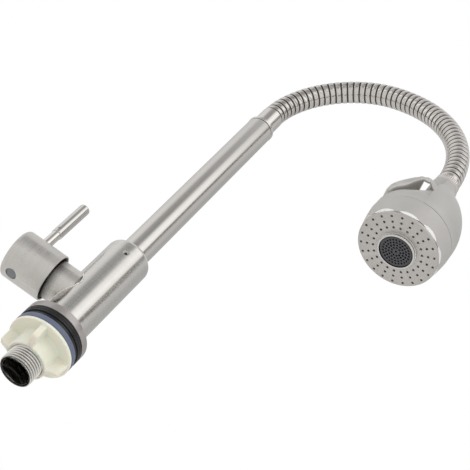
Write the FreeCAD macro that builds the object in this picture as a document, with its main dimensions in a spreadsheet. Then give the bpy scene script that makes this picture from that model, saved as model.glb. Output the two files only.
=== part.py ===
import FreeCAD, Part
import math
import os

import Sketcher

# Kitchen tap with a side lever, a swivelling riser, a bendable gooseneck and a two-jet spray head.
# Origin: on the riser's axis, in the worktop's top face, where the base gasket lies on it.
# +Z up along the riser, +X along the valve branch to the handle, -Y towards the person using it.

doc = FreeCAD.newDocument("kitchen_tap")
sheet = doc.addObject("Spreadsheet::Sheet", "Sizes")

SIZES = (
    ("body_dia", 28.6, "outside of the body tube"),
    ("body_high", 90, "top of the body above the flange's underside"),
    ("body_edge", 3.6, "rounding of the body's top edge"),
    ("flange_dia", 40.4, "base flange"),
    ("flange_thick", 5, "base flange"),
    ("flange_root", 4, "fillet from the flange to the body"),
    ("thread_dia", 20.9, "G1/2 male thread, over its crests"),
    ("inlet_bore", 16.8, "waterway in the shank"),
    ("shank_below", 34.8, "shank under the flange"),
    ("free_thread", 10, "end of the shank left for the supply nut"),
    ("relief_wide", 0.9, "groove above the free thread"),
    ("shank_above", 14, "shank screwed into the body"),
    ("inlet_depth", 21, "top of the lower water chamber"),
    ("branch_high", 33.9, "axis of the valve branch"),
    ("branch_dia", 24.9, "outside of the valve branch"),
    ("branch_foot", 9, "inner end of the branch, from the riser axis"),
    ("branch_end", 31, "outer end of the branch"),
    ("valve_bore", 18, "cross bore round the headwork"),
    ("valve_seat", 2, "depth of the cross bore past the riser axis"),
    ("port_dia", 6, "ports between the valve and the chambers"),
    ("supply_port_x", 7, "supply port, behind the seat"),
    ("outlet_port_x", 4, "outlet port, in front of the seat"),
    ("upper_floor", 50, "floor of the spout socket"),
    ("headwork_dia", 20, "screwed collar of the headwork"),
    ("headwork_nose", 13, "nose of the headwork"),
    ("headwork_head", 24, "head flange of the headwork"),
    ("headwork_rim", 3.2, "thickness of the head flange"),
    ("headwork_seal", 1, "flat seals, clip and end play in the headwork"),
    ("disc_dia", 11, "ceramic discs"),
    ("disc_thick", 3, "ceramic discs"),
    ("disc_port", 2.8, "water holes in the discs"),
    ("spindle_dia", 8, "headwork spindle"),
    ("spindle_end", 47, "outer end of the spindle"),
    ("cap_dia", 30.3, "handle cap"),
    ("cap_rim", 23.3, "open rim of the cap, from the riser axis"),
    ("cap_end", 52.4, "closed end of the cap"),
    ("cap_wall", 1.2, "wall of the cap"),
    ("cap_edge", 3, "rounding of the cap's closed end"),
    ("hub_foot", 37, "inner face of the hub in the cap"),
    ("lever_x", 41.4, "lever axis, from the riser axis"),
    ("rod_dia", 6.2, "lever rod"),
    ("sleeve_dia", 7.1, "lever sleeve"),
    ("sleeve_foot", 28.9, "foot of the sleeve above the branch axis"),
    ("lever_tip", 60.5, "tip of the lever above the branch axis"),
    ("lever_grub_high", 31.9, "lever's grub screw above the branch axis"),
    ("lever_grub_turn", 80, "side of the lever's grub screw, from +X"),
    ("plug_dia", 7, "indicator plug"),
    ("plug_x", 42.6, "indicator plug, from the riser axis"),
    ("screw_dia", 4, "handle and spout grub screws"),
    ("spout_screw_high", 69.9, "spout's retaining screw"),
    ("gasket_thick", 4.2, "base gasket"),
    ("backing_thick", 2.3, "rubber backing washer"),
    ("washer_thick", 3.7, "clamp washer"),
    ("nut_flange_thick", 2.3, "flange of the lock nut"),
    ("nut_hub_dia", 24.8, "hub of the lock nut"),
    ("nut_high", 13.3, "lock nut, whole"),
    ("wing_reach", 17.9, "wings of the lock nut, from the axis"),
    ("wing_thick", 3.6, "wings of the lock nut"),
    ("wing_drop", 1.2, "wings below the nut's hub"),
    ("wing_count", 4, "wings of the lock nut"),
    ("wing_turn", -5, "first wing, from +X"),
    ("riser_dia", 18.4, "riser tube"),
    ("riser_wall", 1.25, "riser tube"),
    ("riser_foot", 75, "lower end of the riser tube"),
    ("riser_top", 246, "upper end of the riser tube"),
    ("bush_dia", 20.6, "outside of the swivel bush"),
    ("bush_high", 11, "swivel bush"),
    ("spigot_foot", 53, "lower end of the spout spigot"),
    ("spigot_bore", 12, "waterway in the spigot"),
    ("seal_wire", 1.6, "O-ring section in the body"),
    ("seal_low", 57, "lower O-ring of the spigot"),
    ("seal_pitch", 5, "from one O-ring to the next"),
    ("screw_groove", 1.7, "depth of the spigot's retaining groove"),
    ("collar_dia", 19, "collar under the gooseneck"),
    ("collar_high", 3.6, "collar under the gooseneck"),
    ("cuff_dia", 15.5, "plain cuffs of the hose"),
    ("adapter_bore", 6.4, "waterway in the hose ends"),
    ("barb_dia", 8.4, "barbs inside the liner"),
    ("barb_long", 11, "barbs inside the liner"),
    ("hose_dia", 15.1, "gooseneck over its bands"),
    ("hose_bore", 11.6, "bore of the gooseneck"),
    ("hose_groove", 0.75, "depth of the grooves between the bands"),
    ("groove_wide", 0.9, "grooves between the bands"),
    ("rib_count", 50, "bands of the gooseneck"),
    ("liner_dia", 11, "outside of the water hose in the gooseneck"),
    ("first_bend", 56, "radius of the gooseneck's first bend"),
    ("first_angle", 102.5, "angle of the first bend"),
    ("second_bend", 95.4, "radius of the second bend"),
    ("spout_turn", 152.9, "side to which the gooseneck reaches, from +X"),
    ("head_turn", -3, "side of the head's lever, from +X"),
    ("ferrule_dia", 15.8, "ferrule between the gooseneck and the head"),
    ("neck_dia", 17.2, "neck of the spray head"),
    ("neck_top", 5.6, "top of the neck under the gooseneck's last band"),
    ("neck_foot", 8, "where the neck starts to flare"),
    ("hump_dia", 39.8, "head where its flare turns into the shoulder"),
    ("hump_depth", 29, "depth of that turn"),
    ("flare_bend", 65, "hollow curve of the flare"),
    ("shoulder_bend", 45, "round curve of the shoulder"),
    ("head_dia", 54.4, "widest part of the head"),
    ("seam_depth", 62, "joint between shell and front ring, below the last band"),
    ("face_depth", 76.2, "lower edge of the front ring, below the last band"),
    ("face_step", 1.7, "lower edge of the front ring inside the widest part"),
    ("rim_wall", 1.8, "lower edge of the front ring"),
    ("facet_count", 10, "grip facets round the front ring's lower edge"),
    ("facet_turn", 10, "first grip facet, from the lever's side"),
    ("facet_deep", 1, "grip facets into the lower edge"),
    ("facet_rise", 4, "height over which a facet's plane leans out by twice its depth"),
    ("ring_bend", 160, "curve of the front ring's side"),
    ("shell_wall", 2, "wall of the head"),
    ("recess_dia", 16.8, "neck inside the finger recess"),
    ("recess_top", 23, "where the finger recess starts to slope"),
    ("lip_high", 11.5, "lower edge of the finger recess above the seam"),
    ("recess_angle", 174, "how far the finger recess goes round"),
    ("plate_thick", 2.2, "spray plate"),
    ("plate_edge", 0.8, "rounding of the spray plate's front edge"),
    ("plate_step", 0.2, "spray plate's side inside the ring's lower edge"),
    ("jet_dia", 1.3, "spray holes"),
    ("jet_count", 22, "spray holes in each ring"),
    ("jet_margin", 2.3, "outer ring of spray holes from the plate's edge"),
    ("jet_step", 3.8, "from one ring of spray holes to the next"),
    ("aerator_dia", 24.4, "aerator ring"),
    ("aerator_proud", 2.6, "aerator ring in front of the plate"),
    ("aerator_thread", 22.4, "threaded part of the aerator ring"),
    ("aerator_long", 9, "aerator ring behind the plate"),
    ("insert_dia", 20.8, "aerator insert"),
    ("insert_sunk", 0.5, "aerator insert below its ring"),
    ("insert_wall", 1.2, "front and side of the aerator insert"),
    ("core_dia", 34, "distributor at the foot of the core"),
    ("core_high", 10, "distributor at the foot of the core"),
    ("core_neck", 13.6, "stem of the core"),
    ("core_flange", 2, "flange that closes the spray chamber"),
    ("core_tube", 2, "wall of the tube round the aerator"),
    ("way_dia", 9.2, "waterway from the spool to the aerator"),
    ("gallery_dia", 3, "galleries from the spool to the spray chamber"),
    ("seal_thick", 1.3, "flat seals in the head"),
    ("spool_dia", 7.2, "diverter spool"),
    ("spool_top", 17, "top of the spool, below the last band"),
    ("spool_long", 29, "diverter spool"),
    ("spool_seal", 1.2, "O-ring section on the spool"),
    ("pivot_out", 5.2, "lever pivot, from the head's axis"),
    ("pivot_depth", 20.5, "lever pivot, below the last band"),
    ("pivot_dia", 2.2, "pivot shaft"),
    ("crank_ball", 2.6, "ball end of the crank in the spool"),
    ("crank_dia", 0.9, "crank from the pivot shaft to its ball"),
    ("leg_gap", 16.6, "between the legs of the diverter lever"),
    ("leg_thick", 1.8, "legs of the diverter lever"),
    ("leg_wide", 4.4, "legs of the diverter lever"),
    ("arm_thick", 3, "arm of the diverter lever"),
    ("arm_wide", 14, "arm of the diverter lever"),
    ("arm_bend", 42, "curve of the arm"),
    ("arm_corner", 5, "rounded corners of the arm's tip"),
    ("crest_out", 12, "yoke of the lever, from the head's axis"),
    ("crest_depth", 15, "top of the lever, below the last band"),
    ("arm_reach", 27, "tip of the arm, from the head's axis"),
    ("arm_foot", 42, "tip of the arm, below the last band"),
    ("running_fit", 0.05, "radial play of what turns or slides"),
    ("loose_fit", 0.3, "play of what is only threaded over"),
)


class Size:
    """A number together with the spreadsheet expression that gives it."""

    def __init__(self, value, text):
        self.value = float(value)
        self.text = text

    def _with(self, sign, other, value):
        text = other.text if isinstance(other, Size) else repr(float(other))
        return Size(value, "(%s %s %s)" % (self.text, sign, text))

    def __add__(self, other):
        return self._with("+", other, self.value + number(other))

    def __sub__(self, other):
        return self._with("-", other, self.value - number(other))

    def __mul__(self, other):
        return self._with("*", other, self.value * number(other))

    def __truediv__(self, other):
        return self._with("/", other, self.value / number(other))

    def __neg__(self):
        return Size(-self.value, "(0 - %s)" % self.text)


def number(size):
    return size.value if isinstance(size, Size) else float(size)


def bind(feature, name, size):
    """Sets a property of a feature, by its spreadsheet expression where it has one."""
    if isinstance(size, Size):
        feature.setExpression(name, size.text)
    elif "." not in name and "[" not in name:
        setattr(feature, name, size)


class Sizes:
    """The driving sizes, each one a cell with an alias."""


size = Sizes()
for row, (alias, value, note) in enumerate(SIZES, start=1):
    sheet.set("A%d" % row, note)
    sheet.set("B%d" % row, str(value))
    sheet.setAlias("B%d" % row, alias)
    setattr(size, alias, Size(value, "Sizes." + alias))
doc.recompute()

parts = {}


def stand(piece, x=0, y=0, z=0, turn=None):
    """Places a sub-part. Heights count from the flange's underside, a gasket above the worktop."""
    turn = turn or FreeCAD.Rotation()
    high = size.gasket_thick + z
    piece.Placement = FreeCAD.Placement(FreeCAD.Vector(number(x), number(y), number(high)), turn)
    for axis, value in zip("xyz", (x, y, high)):
        bind(piece, "Placement.Base." + axis, value)
    parts[piece.Label] = piece


def about_z(degrees):
    return FreeCAD.Rotation(FreeCAD.Vector(0, 0, 1), number(degrees))


# The branch pieces are drawn upright, and this turn lays their +Z along the branch's +X.
ALONG_BRANCH = FreeCAD.Rotation(FreeCAD.Vector(0, 1, 0), 90)


def new_body(label):
    body = doc.addObject("PartDesign::Body", label)
    body.Label = label
    return body


def plane_of(body, role):
    return next(item for item in body.Origin.OriginFeatures if item.Role == role)


def new_sketch(body, role, offset=0):
    sketch = body.newObject("Sketcher::SketchObject", body.Label + "_sketch")
    sketch.AttachmentSupport = [(plane_of(body, role), "")]
    sketch.MapMode = "FlatFace"
    sketch.AttachmentOffset = FreeCAD.Placement(
        FreeCAD.Vector(0, 0, number(offset)), FreeCAD.Rotation())
    bind(sketch, "AttachmentOffset.Base.z", offset)
    return sketch


def pin_point(sketch, geometry, end, x, y):
    """Ties one end of an edge to its distance from the sketch's origin."""
    for kind, value in (("DistanceX", x), ("DistanceY", y)):
        index = sketch.addConstraint(
            Sketcher.Constraint(kind, -1, 1, geometry, end, number(value)))
        bind(sketch, "Constraints[%d]" % index, value)


def arc_between(start, end, radius):
    """An arc from start to end; a positive radius bulges to the right of the way there."""
    chord = end - start
    across = FreeCAD.Vector(chord.y, -chord.x, 0).normalize()
    half = chord.Length / 2
    rise = math.sqrt(max(radius ** 2 - half ** 2, 0))
    side = 1 if radius > 0 else -1
    centre = (start + end) / 2 - across * side * rise
    first, last = (start, end) if radius > 0 else (end, start)
    whole = Part.Circle(centre, FreeCAD.Vector(0, 0, 1), abs(radius))
    return Part.ArcOfCircle(
        whole,
        math.atan2(first.y - centre.y, first.x - centre.x),
        math.atan2(last.y - centre.y, last.x - centre.x))


def outline(sketch, points):
    """Draws a closed outline. A third value in a point is the radius of the arc that ends there."""
    corners = [FreeCAD.Vector(number(point[0]), number(point[1]), 0) for point in points]
    drawn = []
    for index, point in enumerate(points):
        start, end = corners[index - 1], corners[index]
        radius = point[2] if len(point) == 3 else 0
        clockwise = number(radius) < 0
        if len(point) == 3:
            edge = sketch.addGeometry(arc_between(start, end, number(radius)))
            turn = sketch.addConstraint(Sketcher.Constraint("Radius", edge, abs(number(radius))))
            bind(sketch, "Constraints[%d]" % turn, -radius if clockwise else radius)
        else:
            edge = sketch.addGeometry(Part.LineSegment(start, end))
        first, last = (2, 1) if clockwise else (1, 2)
        pin_point(sketch, edge, last, point[0], point[1])
        drawn.append((edge, first, last))
    for index, (edge, first, last) in enumerate(drawn):
        before, _, joined = drawn[index - 1]
        sketch.addConstraint(Sketcher.Constraint("Coincident", before, joined, edge, first))
    return sketch


def turned(label, points):
    """A sub-part turned about its own Z axis, from (radius, height) points."""
    body = new_body(label)
    sketch = outline(new_sketch(body, "XZ_Plane"), points)
    turn = body.newObject("PartDesign::Revolution", label + "_turn")
    turn.Profile = sketch
    turn.ReferenceAxis = (sketch, ["V_Axis"])
    return body


def ring(label, inner, outer, low, high):
    """A plain ring or washer."""
    return turned(label, [(inner, low), (outer, low), (outer, high), (inner, high)])


same_place = 1e-4


def rounded(body, radius, *corners):
    """Rounds the circular edges of the last feature that lie at these (radius, height) corners."""
    doc.recompute()
    base = body.Tip
    names = []
    for index, edge in enumerate(base.Shape.Edges, start=1):
        for reach, height in corners:
            if not isinstance(edge.Curve, Part.Circle):
                continue
            same_reach = abs(edge.Curve.Radius - number(reach)) < same_place
            same_height = abs(edge.Curve.Center.z - number(height)) < same_place
            if same_reach and same_height:
                names.append("Edge%d" % index)
    fillet = body.newObject("PartDesign::Fillet", body.Label + "_rounding")
    fillet.Base = (base, names)
    fillet.Radius = number(radius)
    bind(fillet, "Radius", radius)
    return fillet


def circle(sketch, x, y, diameter):
    """Draws a round outline, tied to the sketch's origin."""
    centre = FreeCAD.Vector(number(x), number(y), 0)
    edge = sketch.addGeometry(Part.Circle(centre, FreeCAD.Vector(0, 0, 1), number(diameter) / 2))
    pin_point(sketch, edge, 3, x, y)
    index = sketch.addConstraint(Sketcher.Constraint("Diameter", edge, number(diameter)))
    bind(sketch, "Constraints[%d]" % index, diameter)


def hexagon(sketch, x, y, across):
    """Draws a hexagon with its corners tied to the sketch's origin."""
    reach = across / math.sqrt(3)
    corners = []
    for step in range(6):
        angle = math.radians(60 * step + 30)
        corners.append((reach * math.cos(angle) + x, reach * math.sin(angle) + y))
    outline(sketch, corners)


def ringed(body, feature, sketch, axis, count):
    """Repeats a feature evenly round one of its sketch's axes."""
    pattern = body.newObject("PartDesign::PolarPattern", body.Label + "_pattern")
    pattern.Originals = [feature]
    pattern.Axis = (sketch, [axis])
    pattern.Angle = 360
    pattern.Occurrences = int(count.value)
    bind(pattern, "Occurrences", count)
    body.Tip = pattern


cuts = []


def pocket(body, sketch, depth, forward=False):
    """Cuts a sketch into the body, against its plane's normal or forward along it."""
    cut = body.newObject("PartDesign::Pocket", body.Label + "_cut")
    cut.Profile = sketch
    cut.Length = number(depth)
    bind(cut, "Length", depth)
    cut.Reversed = forward
    cuts.append(cut)
    return cut


def drill(body, role, x, y, diameter, offset, depth, forward=False):
    """A round hole from a plane at an offset."""
    sketch = new_sketch(body, role, offset)
    circle(sketch, x, y, diameter)
    return pocket(body, sketch, depth, forward)


def grub_screw(label, diameter, length):
    """A headless screw, its point at the origin and its hexagon socket at the far end."""
    tip = diameter / 4
    body = turned(label, [
        (0, 0), (tip, 0), (diameter / 2, tip / 2), (diameter / 2, length), (0, length)])
    sketch = new_sketch(body, "XY_Plane", length)
    hexagon(sketch, 0, 0, diameter / 2)
    pocket(body, sketch, length / 2)
    return body


def o_ring(label, middle, wire, height):
    corners = [math.radians(45 * step + 22.5) for step in range(8)]
    return turned(label, [
        (middle + wire / 2 * math.cos(angle), height + wire / 2 * math.sin(angle)) for angle in corners])


def o_rings(label, middle, wire, heights):
    """A set of O-rings on one axis, each with an eight-sided section."""
    if len(heights) == 1:
        return o_ring(label, middle, wire, heights[0])
    rings = [o_ring(label + "_ring", middle, wire, height) for height in heights]
    group = doc.addObject("Part::Compound", label)
    group.Links = rings
    return group


# Body, shank and what clamps them to the worktop
body_r = size.body_dia / 2
riser_r = size.riser_dia / 2
thread_r = size.thread_dia / 2
inlet_r = size.inlet_bore / 2
flange_r = size.flange_dia / 2
bush_r = size.bush_dia / 2
socket_r = riser_r + size.running_fit
bush_foot = size.body_high - size.bush_high


def make_body():
    body = turned("main_body", [
        (thread_r, 0), (flange_r, 0), (flange_r, size.flange_thick), (body_r, size.flange_thick),
        (body_r, size.body_high), (bush_r, size.body_high), (bush_r, bush_foot),
        (socket_r, bush_foot), (socket_r, size.upper_floor), (0, size.upper_floor),
        (0, size.inlet_depth), (inlet_r, size.inlet_depth), (inlet_r, size.shank_above),
        (thread_r, size.shank_above)])
    rounded(body, size.body_edge, (body_r, size.body_high))
    rounded(body, size.flange_root, (body_r, size.flange_thick))
    # The branch's seat, the cross bore for the headwork and the pocket behind its seat
    drill(body, "YZ_Plane", 0, size.branch_high, size.branch_dia, size.branch_foot,
          size.body_dia, forward=True)
    drill(body, "YZ_Plane", 0, size.branch_high, size.valve_bore, size.branch_foot,
          size.branch_foot + size.valve_seat)
    drill(body, "YZ_Plane", 0, size.branch_high, size.disc_dia, -size.valve_seat,
          size.supply_port_x + size.port_dia * 0.75 - size.valve_seat)
    # Ports from the lower chamber to the seat, and from the valve up to the spout's socket
    drill(body, "XY_Plane", -size.supply_port_x, 0, size.port_dia, size.inlet_depth,
          size.branch_high - size.inlet_depth, forward=True)
    drill(body, "XY_Plane", size.outlet_port_x, 0, size.port_dia, size.upper_floor,
          size.upper_floor - size.branch_high)
    # Threaded hole for the spout's retaining screw, at the back
    drill(body, "XZ_Plane", 0, size.spout_screw_high, size.screw_dia, 0, size.body_dia)
    stand(body)


def make_shank():
    relief_low = size.free_thread - size.shank_below
    relief_high = relief_low + size.relief_wide
    floor_r = thread_r - size.relief_wide / 2
    body = turned("inlet_shank", [
        (inlet_r, -size.shank_below), (thread_r, -size.shank_below), (thread_r, relief_low),
        (floor_r, relief_low), (floor_r, relief_high), (thread_r, relief_high),
        (thread_r, size.shank_above), (inlet_r, size.shank_above)])
    stand(body)


def make_clamping():
    hole_r = thread_r + size.loose_fit
    groove = size.gasket_thick / 6
    low = -size.gasket_thick
    gasket = turned("base_gasket", [
        (hole_r, 0), (flange_r, 0), (flange_r, low + groove * 4), (flange_r - groove, low + groove * 3),
        (flange_r, low + groove * 2), (flange_r, low), (hole_r, low)])
    stand(gasket)
    backing_low = low - size.backing_thick
    backing = ring("backing_washer", hole_r, flange_r - groove, backing_low, low)
    stand(backing)
    washer = ring("clamp_washer", hole_r, flange_r, backing_low - size.washer_thick, backing_low)
    stand(washer)
    make_lock_nut(backing_low - size.washer_thick)


def make_lock_nut(top):
    """A plastic nut with four wings; its thread runs on the shank's."""
    bore_r = thread_r + size.running_fit
    hub_r = size.nut_hub_dia / 2
    hub_low = -size.nut_high
    body = turned("lock_nut", [
        (bore_r, 0), (flange_r, 0), (flange_r, -size.nut_flange_thick), (hub_r, -size.nut_flange_thick),
        (hub_r, hub_low), (bore_r, hub_low)])
    wing = new_sketch(body, "XZ_Plane")
    wing_low = hub_low - size.wing_drop
    inside = hub_r - size.wing_thick / 4
    outline(wing, [
        (inside, -size.nut_flange_thick / 2), (size.wing_reach, -size.nut_flange_thick / 2),
        (size.wing_reach, wing_low + size.wing_thick),
        (size.wing_reach - size.wing_thick, wing_low, -size.wing_thick),
        (inside, wing_low)])
    pad = body.newObject("PartDesign::Pad", "lock_nut_wing")
    pad.Profile = wing
    pad.Length = size.wing_thick.value
    bind(pad, "Length", size.wing_thick)
    pad.Midplane = True
    ringed(body, pad, wing, "V_Axis", size.wing_count)
    stand(body, z=top, turn=about_z(size.wing_turn))


# Valve in the branch: drawn upright, laid along +X at the branch's height
branch_r = size.branch_dia / 2
collar_r = size.headwork_dia / 2
collar_x = size.branch_foot + size.headwork_dia / 2
nose_r = size.headwork_nose / 2
disc_r = size.disc_dia / 2
spindle_r = size.spindle_dia / 2
seat_x = -size.valve_seat
head_x = size.branch_end + size.headwork_seal
disc_x = seat_x + size.headwork_seal
moving_x = disc_x + size.disc_thick
foot_x = moving_x + size.disc_thick


def along_branch(piece, turn=None):
    stand(piece, z=size.branch_high, turn=turn or ALONG_BRANCH)


def make_branch():
    body = turned("valve_branch", [
        (size.valve_bore / 2, size.branch_foot), (branch_r, size.branch_foot), (branch_r, size.branch_end),
        (collar_r, size.branch_end), (collar_r, collar_x), (size.valve_bore / 2, collar_x)])
    along_branch(body)


def make_headwork():
    shaft_r = spindle_r + size.running_fit
    window_x = foot_x + size.disc_thick
    body = turned("headwork_body", [
        (disc_r + size.running_fit, disc_x), (nose_r, disc_x), (nose_r, collar_x),
        (collar_r, collar_x), (collar_r, head_x), (size.headwork_head / 2, head_x),
        (size.headwork_head / 2, head_x + size.headwork_rim), (shaft_r, head_x + size.headwork_rim),
        (shaft_r, window_x), (disc_r + size.running_fit, window_x)])
    # Two outlet windows beside the moving disc
    window = new_sketch(body, "XZ_Plane")
    outline(window, [
        (-size.disc_port, moving_x), (size.disc_port, moving_x),
        (size.disc_port, foot_x + size.disc_thick / 2), (-size.disc_port, foot_x + size.disc_thick / 2)])
    cut = pocket(body, window, size.headwork_dia)
    cut.Midplane = True
    along_branch(body)
    gasket = ring("headwork_gasket", collar_r, size.headwork_head / 2, size.branch_end, head_x)
    along_branch(gasket)
    seal = ring("seat_seal", disc_r - size.headwork_seal, nose_r, seat_x, disc_x)
    along_branch(seal)


def make_discs():
    """Two ceramic discs with two water holes each."""
    for label, low in (("fixed_disc", disc_x), ("moving_disc", moving_x)):
        high = low + size.disc_thick
        body = turned(label, [(0, low), (disc_r, low), (disc_r, high), (0, high)])
        for side in (-1, 1):
            drill(body, "XY_Plane", (disc_r - size.disc_port / 2 - size.headwork_seal) * side, 0,
                  size.disc_port, low, size.disc_thick, forward=True)
        along_branch(body)


def make_spindle():
    clip_x = head_x + size.headwork_rim
    groove_x = size.branch_end - size.disc_thick
    wire = spindle_r / 3
    body = turned("spindle", [
        (0, foot_x), (disc_r - size.running_fit, foot_x),
        (disc_r - size.running_fit, foot_x + size.disc_thick / 2), (spindle_r, foot_x + size.disc_thick / 2),
        (spindle_r, groove_x), (spindle_r - wire, groove_x), (spindle_r - wire, groove_x + wire),
        (spindle_r, groove_x + wire), (spindle_r, size.spindle_end), (0, size.spindle_end)])
    along_branch(body)
    seal = o_rings("spindle_seal", spindle_r - wire / 2, wire, [Size(0, "0")])
    stand(seal, x=groove_x + wire / 2, z=size.branch_high, turn=ALONG_BRANCH)
    clip = ring("spindle_clip", spindle_r, disc_r, clip_x + size.running_fit, clip_x + size.headwork_seal)
    along_branch(clip)


# Handle: cap, hub and lever turn together about the branch's axis
cap_r = size.cap_dia / 2
cap_inner = cap_r - size.cap_wall
cap_floor = size.cap_end - size.cap_wall
plug_seat = cap_r - size.plug_dia * 0.35
rod_r = size.rod_dia / 2
sleeve_r = size.sleeve_dia / 2
tang_r = rod_r * 0.7
screw_r = size.screw_dia / 2


def make_cap():
    body = turned("handle_cap", [
        (cap_inner, size.cap_rim), (cap_r, size.cap_rim), (cap_r, size.cap_end), (0, size.cap_end),
        (0, cap_floor), (cap_inner - size.cap_edge, cap_floor), (cap_inner, cap_floor - size.cap_edge)])
    rounded(body, size.cap_edge, (cap_r, size.cap_end))
    drill(body, "YZ_Plane", 0, size.lever_x, size.rod_dia, 0, size.cap_dia)
    drill(body, "YZ_Plane", 0, size.plug_x, size.plug_dia, 0, size.cap_dia, forward=True)
    along_branch(body)


def make_hub():
    hub_r = cap_inner
    edge = size.cap_edge
    body = turned("handle_hub", [
        (spindle_r, size.hub_foot), (hub_r, size.hub_foot), (hub_r, cap_floor - edge),
        (hub_r - edge, cap_floor), (0, cap_floor), (0, size.spindle_end), (spindle_r, size.spindle_end)])
    drill(body, "YZ_Plane", 0, size.lever_x, size.rod_dia, -spindle_r * 1.5, size.cap_dia)
    drill(body, "YZ_Plane", 0, size.plug_x, size.screw_dia, 0, size.cap_dia, forward=True)
    drill(body, "YZ_Plane", 0, size.plug_x, size.plug_dia, plug_seat - size.cap_wall * 2,
          size.cap_dia, forward=True)
    along_branch(body)


def make_handle_fixings():
    down = FreeCAD.Rotation(FreeCAD.Vector(1, 0, 0), 180)
    seat = plug_seat - size.cap_wall * 2
    screw = grub_screw("handle_grub_screw", size.screw_dia, seat - spindle_r - size.headwork_seal)
    stand(screw, x=size.plug_x, z=size.branch_high - spindle_r, turn=down)
    face = cap_r - size.cap_wall * 0.4
    plug = turned("indicator_plug", [
        (0, seat), (size.plug_dia / 2, seat), (size.plug_dia / 2, face), (0, face)])
    stand(plug, x=size.plug_x, z=size.branch_high, turn=down)


def make_lever():
    tang_top = size.sleeve_foot + size.sleeve_dia * 1.3
    rod_foot = spindle_r * 1.5
    rod = turned("lever_rod", [
        (0, rod_foot), (rod_r, rod_foot), (rod_r, size.sleeve_foot), (tang_r, size.sleeve_foot),
        (tang_r, tang_top), (0, tang_top)])
    stand(rod, x=size.lever_x, z=size.branch_high)
    sleeve = turned("lever_sleeve", [
        (tang_r, size.sleeve_foot), (sleeve_r, size.sleeve_foot), (sleeve_r, size.lever_tip),
        (0, size.lever_tip), (0, tang_top), (tang_r, tang_top)])
    rounded(sleeve, sleeve_r * 0.3, (sleeve_r, size.lever_tip))
    drill(sleeve, "XZ_Plane", 0, size.lever_grub_high, screw_r, 0, size.sleeve_dia)
    stand(sleeve, x=size.lever_x, z=size.branch_high, turn=about_z(size.lever_grub_turn - 90))
    grub = grub_screw("lever_grub_screw", screw_r, (sleeve_r - tang_r) * 0.8)
    side = FreeCAD.Vector(math.cos(math.radians(size.lever_grub_turn.value)),
                          math.sin(math.radians(size.lever_grub_turn.value)), 0)
    outward = FreeCAD.Rotation(FreeCAD.Vector(0, 0, 1), side)
    stand(grub, x=size.lever_x + tang_r * side.x, y=tang_r * side.y,
          z=size.branch_high + size.lever_grub_high, turn=outward)


# Spout: spigot and riser turn in the body, on two O-rings and a bush
def make_spigot():
    wire = size.seal_wire
    floor_r = riser_r - wire
    tube_r = riser_r - size.riser_wall
    half = wire * 0.55
    groove_r = riser_r - size.screw_groove
    points = [(size.spigot_bore / 2, size.spigot_foot), (riser_r, size.spigot_foot)]
    for step in range(2):
        middle = size.seal_low + size.seal_pitch * step
        points += [(riser_r, middle - half), (floor_r, middle - half),
                   (floor_r, middle + half), (riser_r, middle + half)]
    screw_low = size.spout_screw_high - size.screw_dia * 0.6
    screw_high = size.spout_screw_high + size.screw_dia * 0.6
    points += [(riser_r, screw_low), (groove_r, screw_low), (groove_r, screw_high), (riser_r, screw_high),
               (riser_r, size.riser_foot), (tube_r, size.riser_foot),
               (tube_r, size.riser_foot + size.riser_dia / 2),
               (size.spigot_bore / 2, size.riser_foot + size.riser_dia / 2)]
    stand(turned("spout_spigot", points))
    heights = [size.seal_low + size.seal_pitch * step for step in range(2)]
    stand(o_rings("spigot_o_rings", riser_r - wire / 2 + size.running_fit / 2, wire, heights))


def make_spout_fixings():
    bush = ring("swivel_bush", socket_r, bush_r, bush_foot, size.body_high - size.headwork_seal)
    stand(bush)
    reach = riser_r - size.screw_groove + size.loose_fit
    screw = grub_screw("spout_screw", size.screw_dia, body_r - reach - size.headwork_seal)
    backward = FreeCAD.Rotation(FreeCAD.Vector(1, 0, 0), -90)
    stand(screw, y=reach, z=size.spout_screw_high, turn=backward)


def make_riser():
    tube = ring("riser_tube", riser_r - size.riser_wall, riser_r, size.riser_foot, size.riser_top)
    stand(tube)


cuff_r = size.cuff_dia / 2
collar_top = size.riser_top + size.collar_high
hose_start = collar_top + size.hose_dia
barb_r = size.barb_dia / 2
waterway_r = size.adapter_bore / 2


def make_adapter():
    tube_r = riser_r - size.riser_wall
    slope = size.collar_dia / 2 - cuff_r
    body = turned("riser_adapter", [
        (waterway_r, size.riser_top - size.riser_dia / 2), (tube_r, size.riser_top - size.riser_dia / 2),
        (tube_r, size.riser_top), (size.collar_dia / 2, size.riser_top),
        (size.collar_dia / 2, collar_top - slope), (cuff_r, collar_top), (barb_r, collar_top),
        (barb_r, collar_top + size.barb_long), (waterway_r, collar_top + size.barb_long)])
    stand(body)


# Gooseneck: two bends in one plane, between straight cuffs one hose diameter long
first_end = math.radians(size.first_angle.value)
second_part = math.pi - first_end
first_r = size.first_bend.value
second_r = size.second_bend.value
first_length = first_r * first_end
bend_length = first_length + second_r * second_part
hose_reach = first_r * (1 - math.cos(first_end)) + second_r * (1 + math.cos(first_end))
hose_end = hose_start.value - (second_r - first_r) * math.sin(first_end)
hose_floor = size.hose_dia / 2 - size.hose_groove


def on_bend(along):
    """Point and direction on the bends, this far after the hose's first straight."""
    if along <= first_length:
        angle = along / first_r
        out = first_r * (1 - math.cos(angle))
        up = first_r * math.sin(angle)
    else:
        angle = first_end + (along - first_length) / second_r
        out = first_r * (1 - math.cos(first_end)) + second_r * (math.cos(first_end) - math.cos(angle))
        up = first_r * math.sin(first_end) + second_r * (math.sin(angle) - math.sin(first_end))
    return FreeCAD.Vector(out, 0, hose_start.value + up), FreeCAD.Vector(math.sin(angle), 0, math.cos(angle))


def ring_on_bend(along, radius):
    """A circle square to the bends, with its seam on the same side all the way."""
    point, way = on_bend(along)
    edge = Part.Circle(point, way, radius)
    edge.XAxis = FreeCAD.Vector(0, 1, 0)
    return Part.Wire(edge.toShape())


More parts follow.
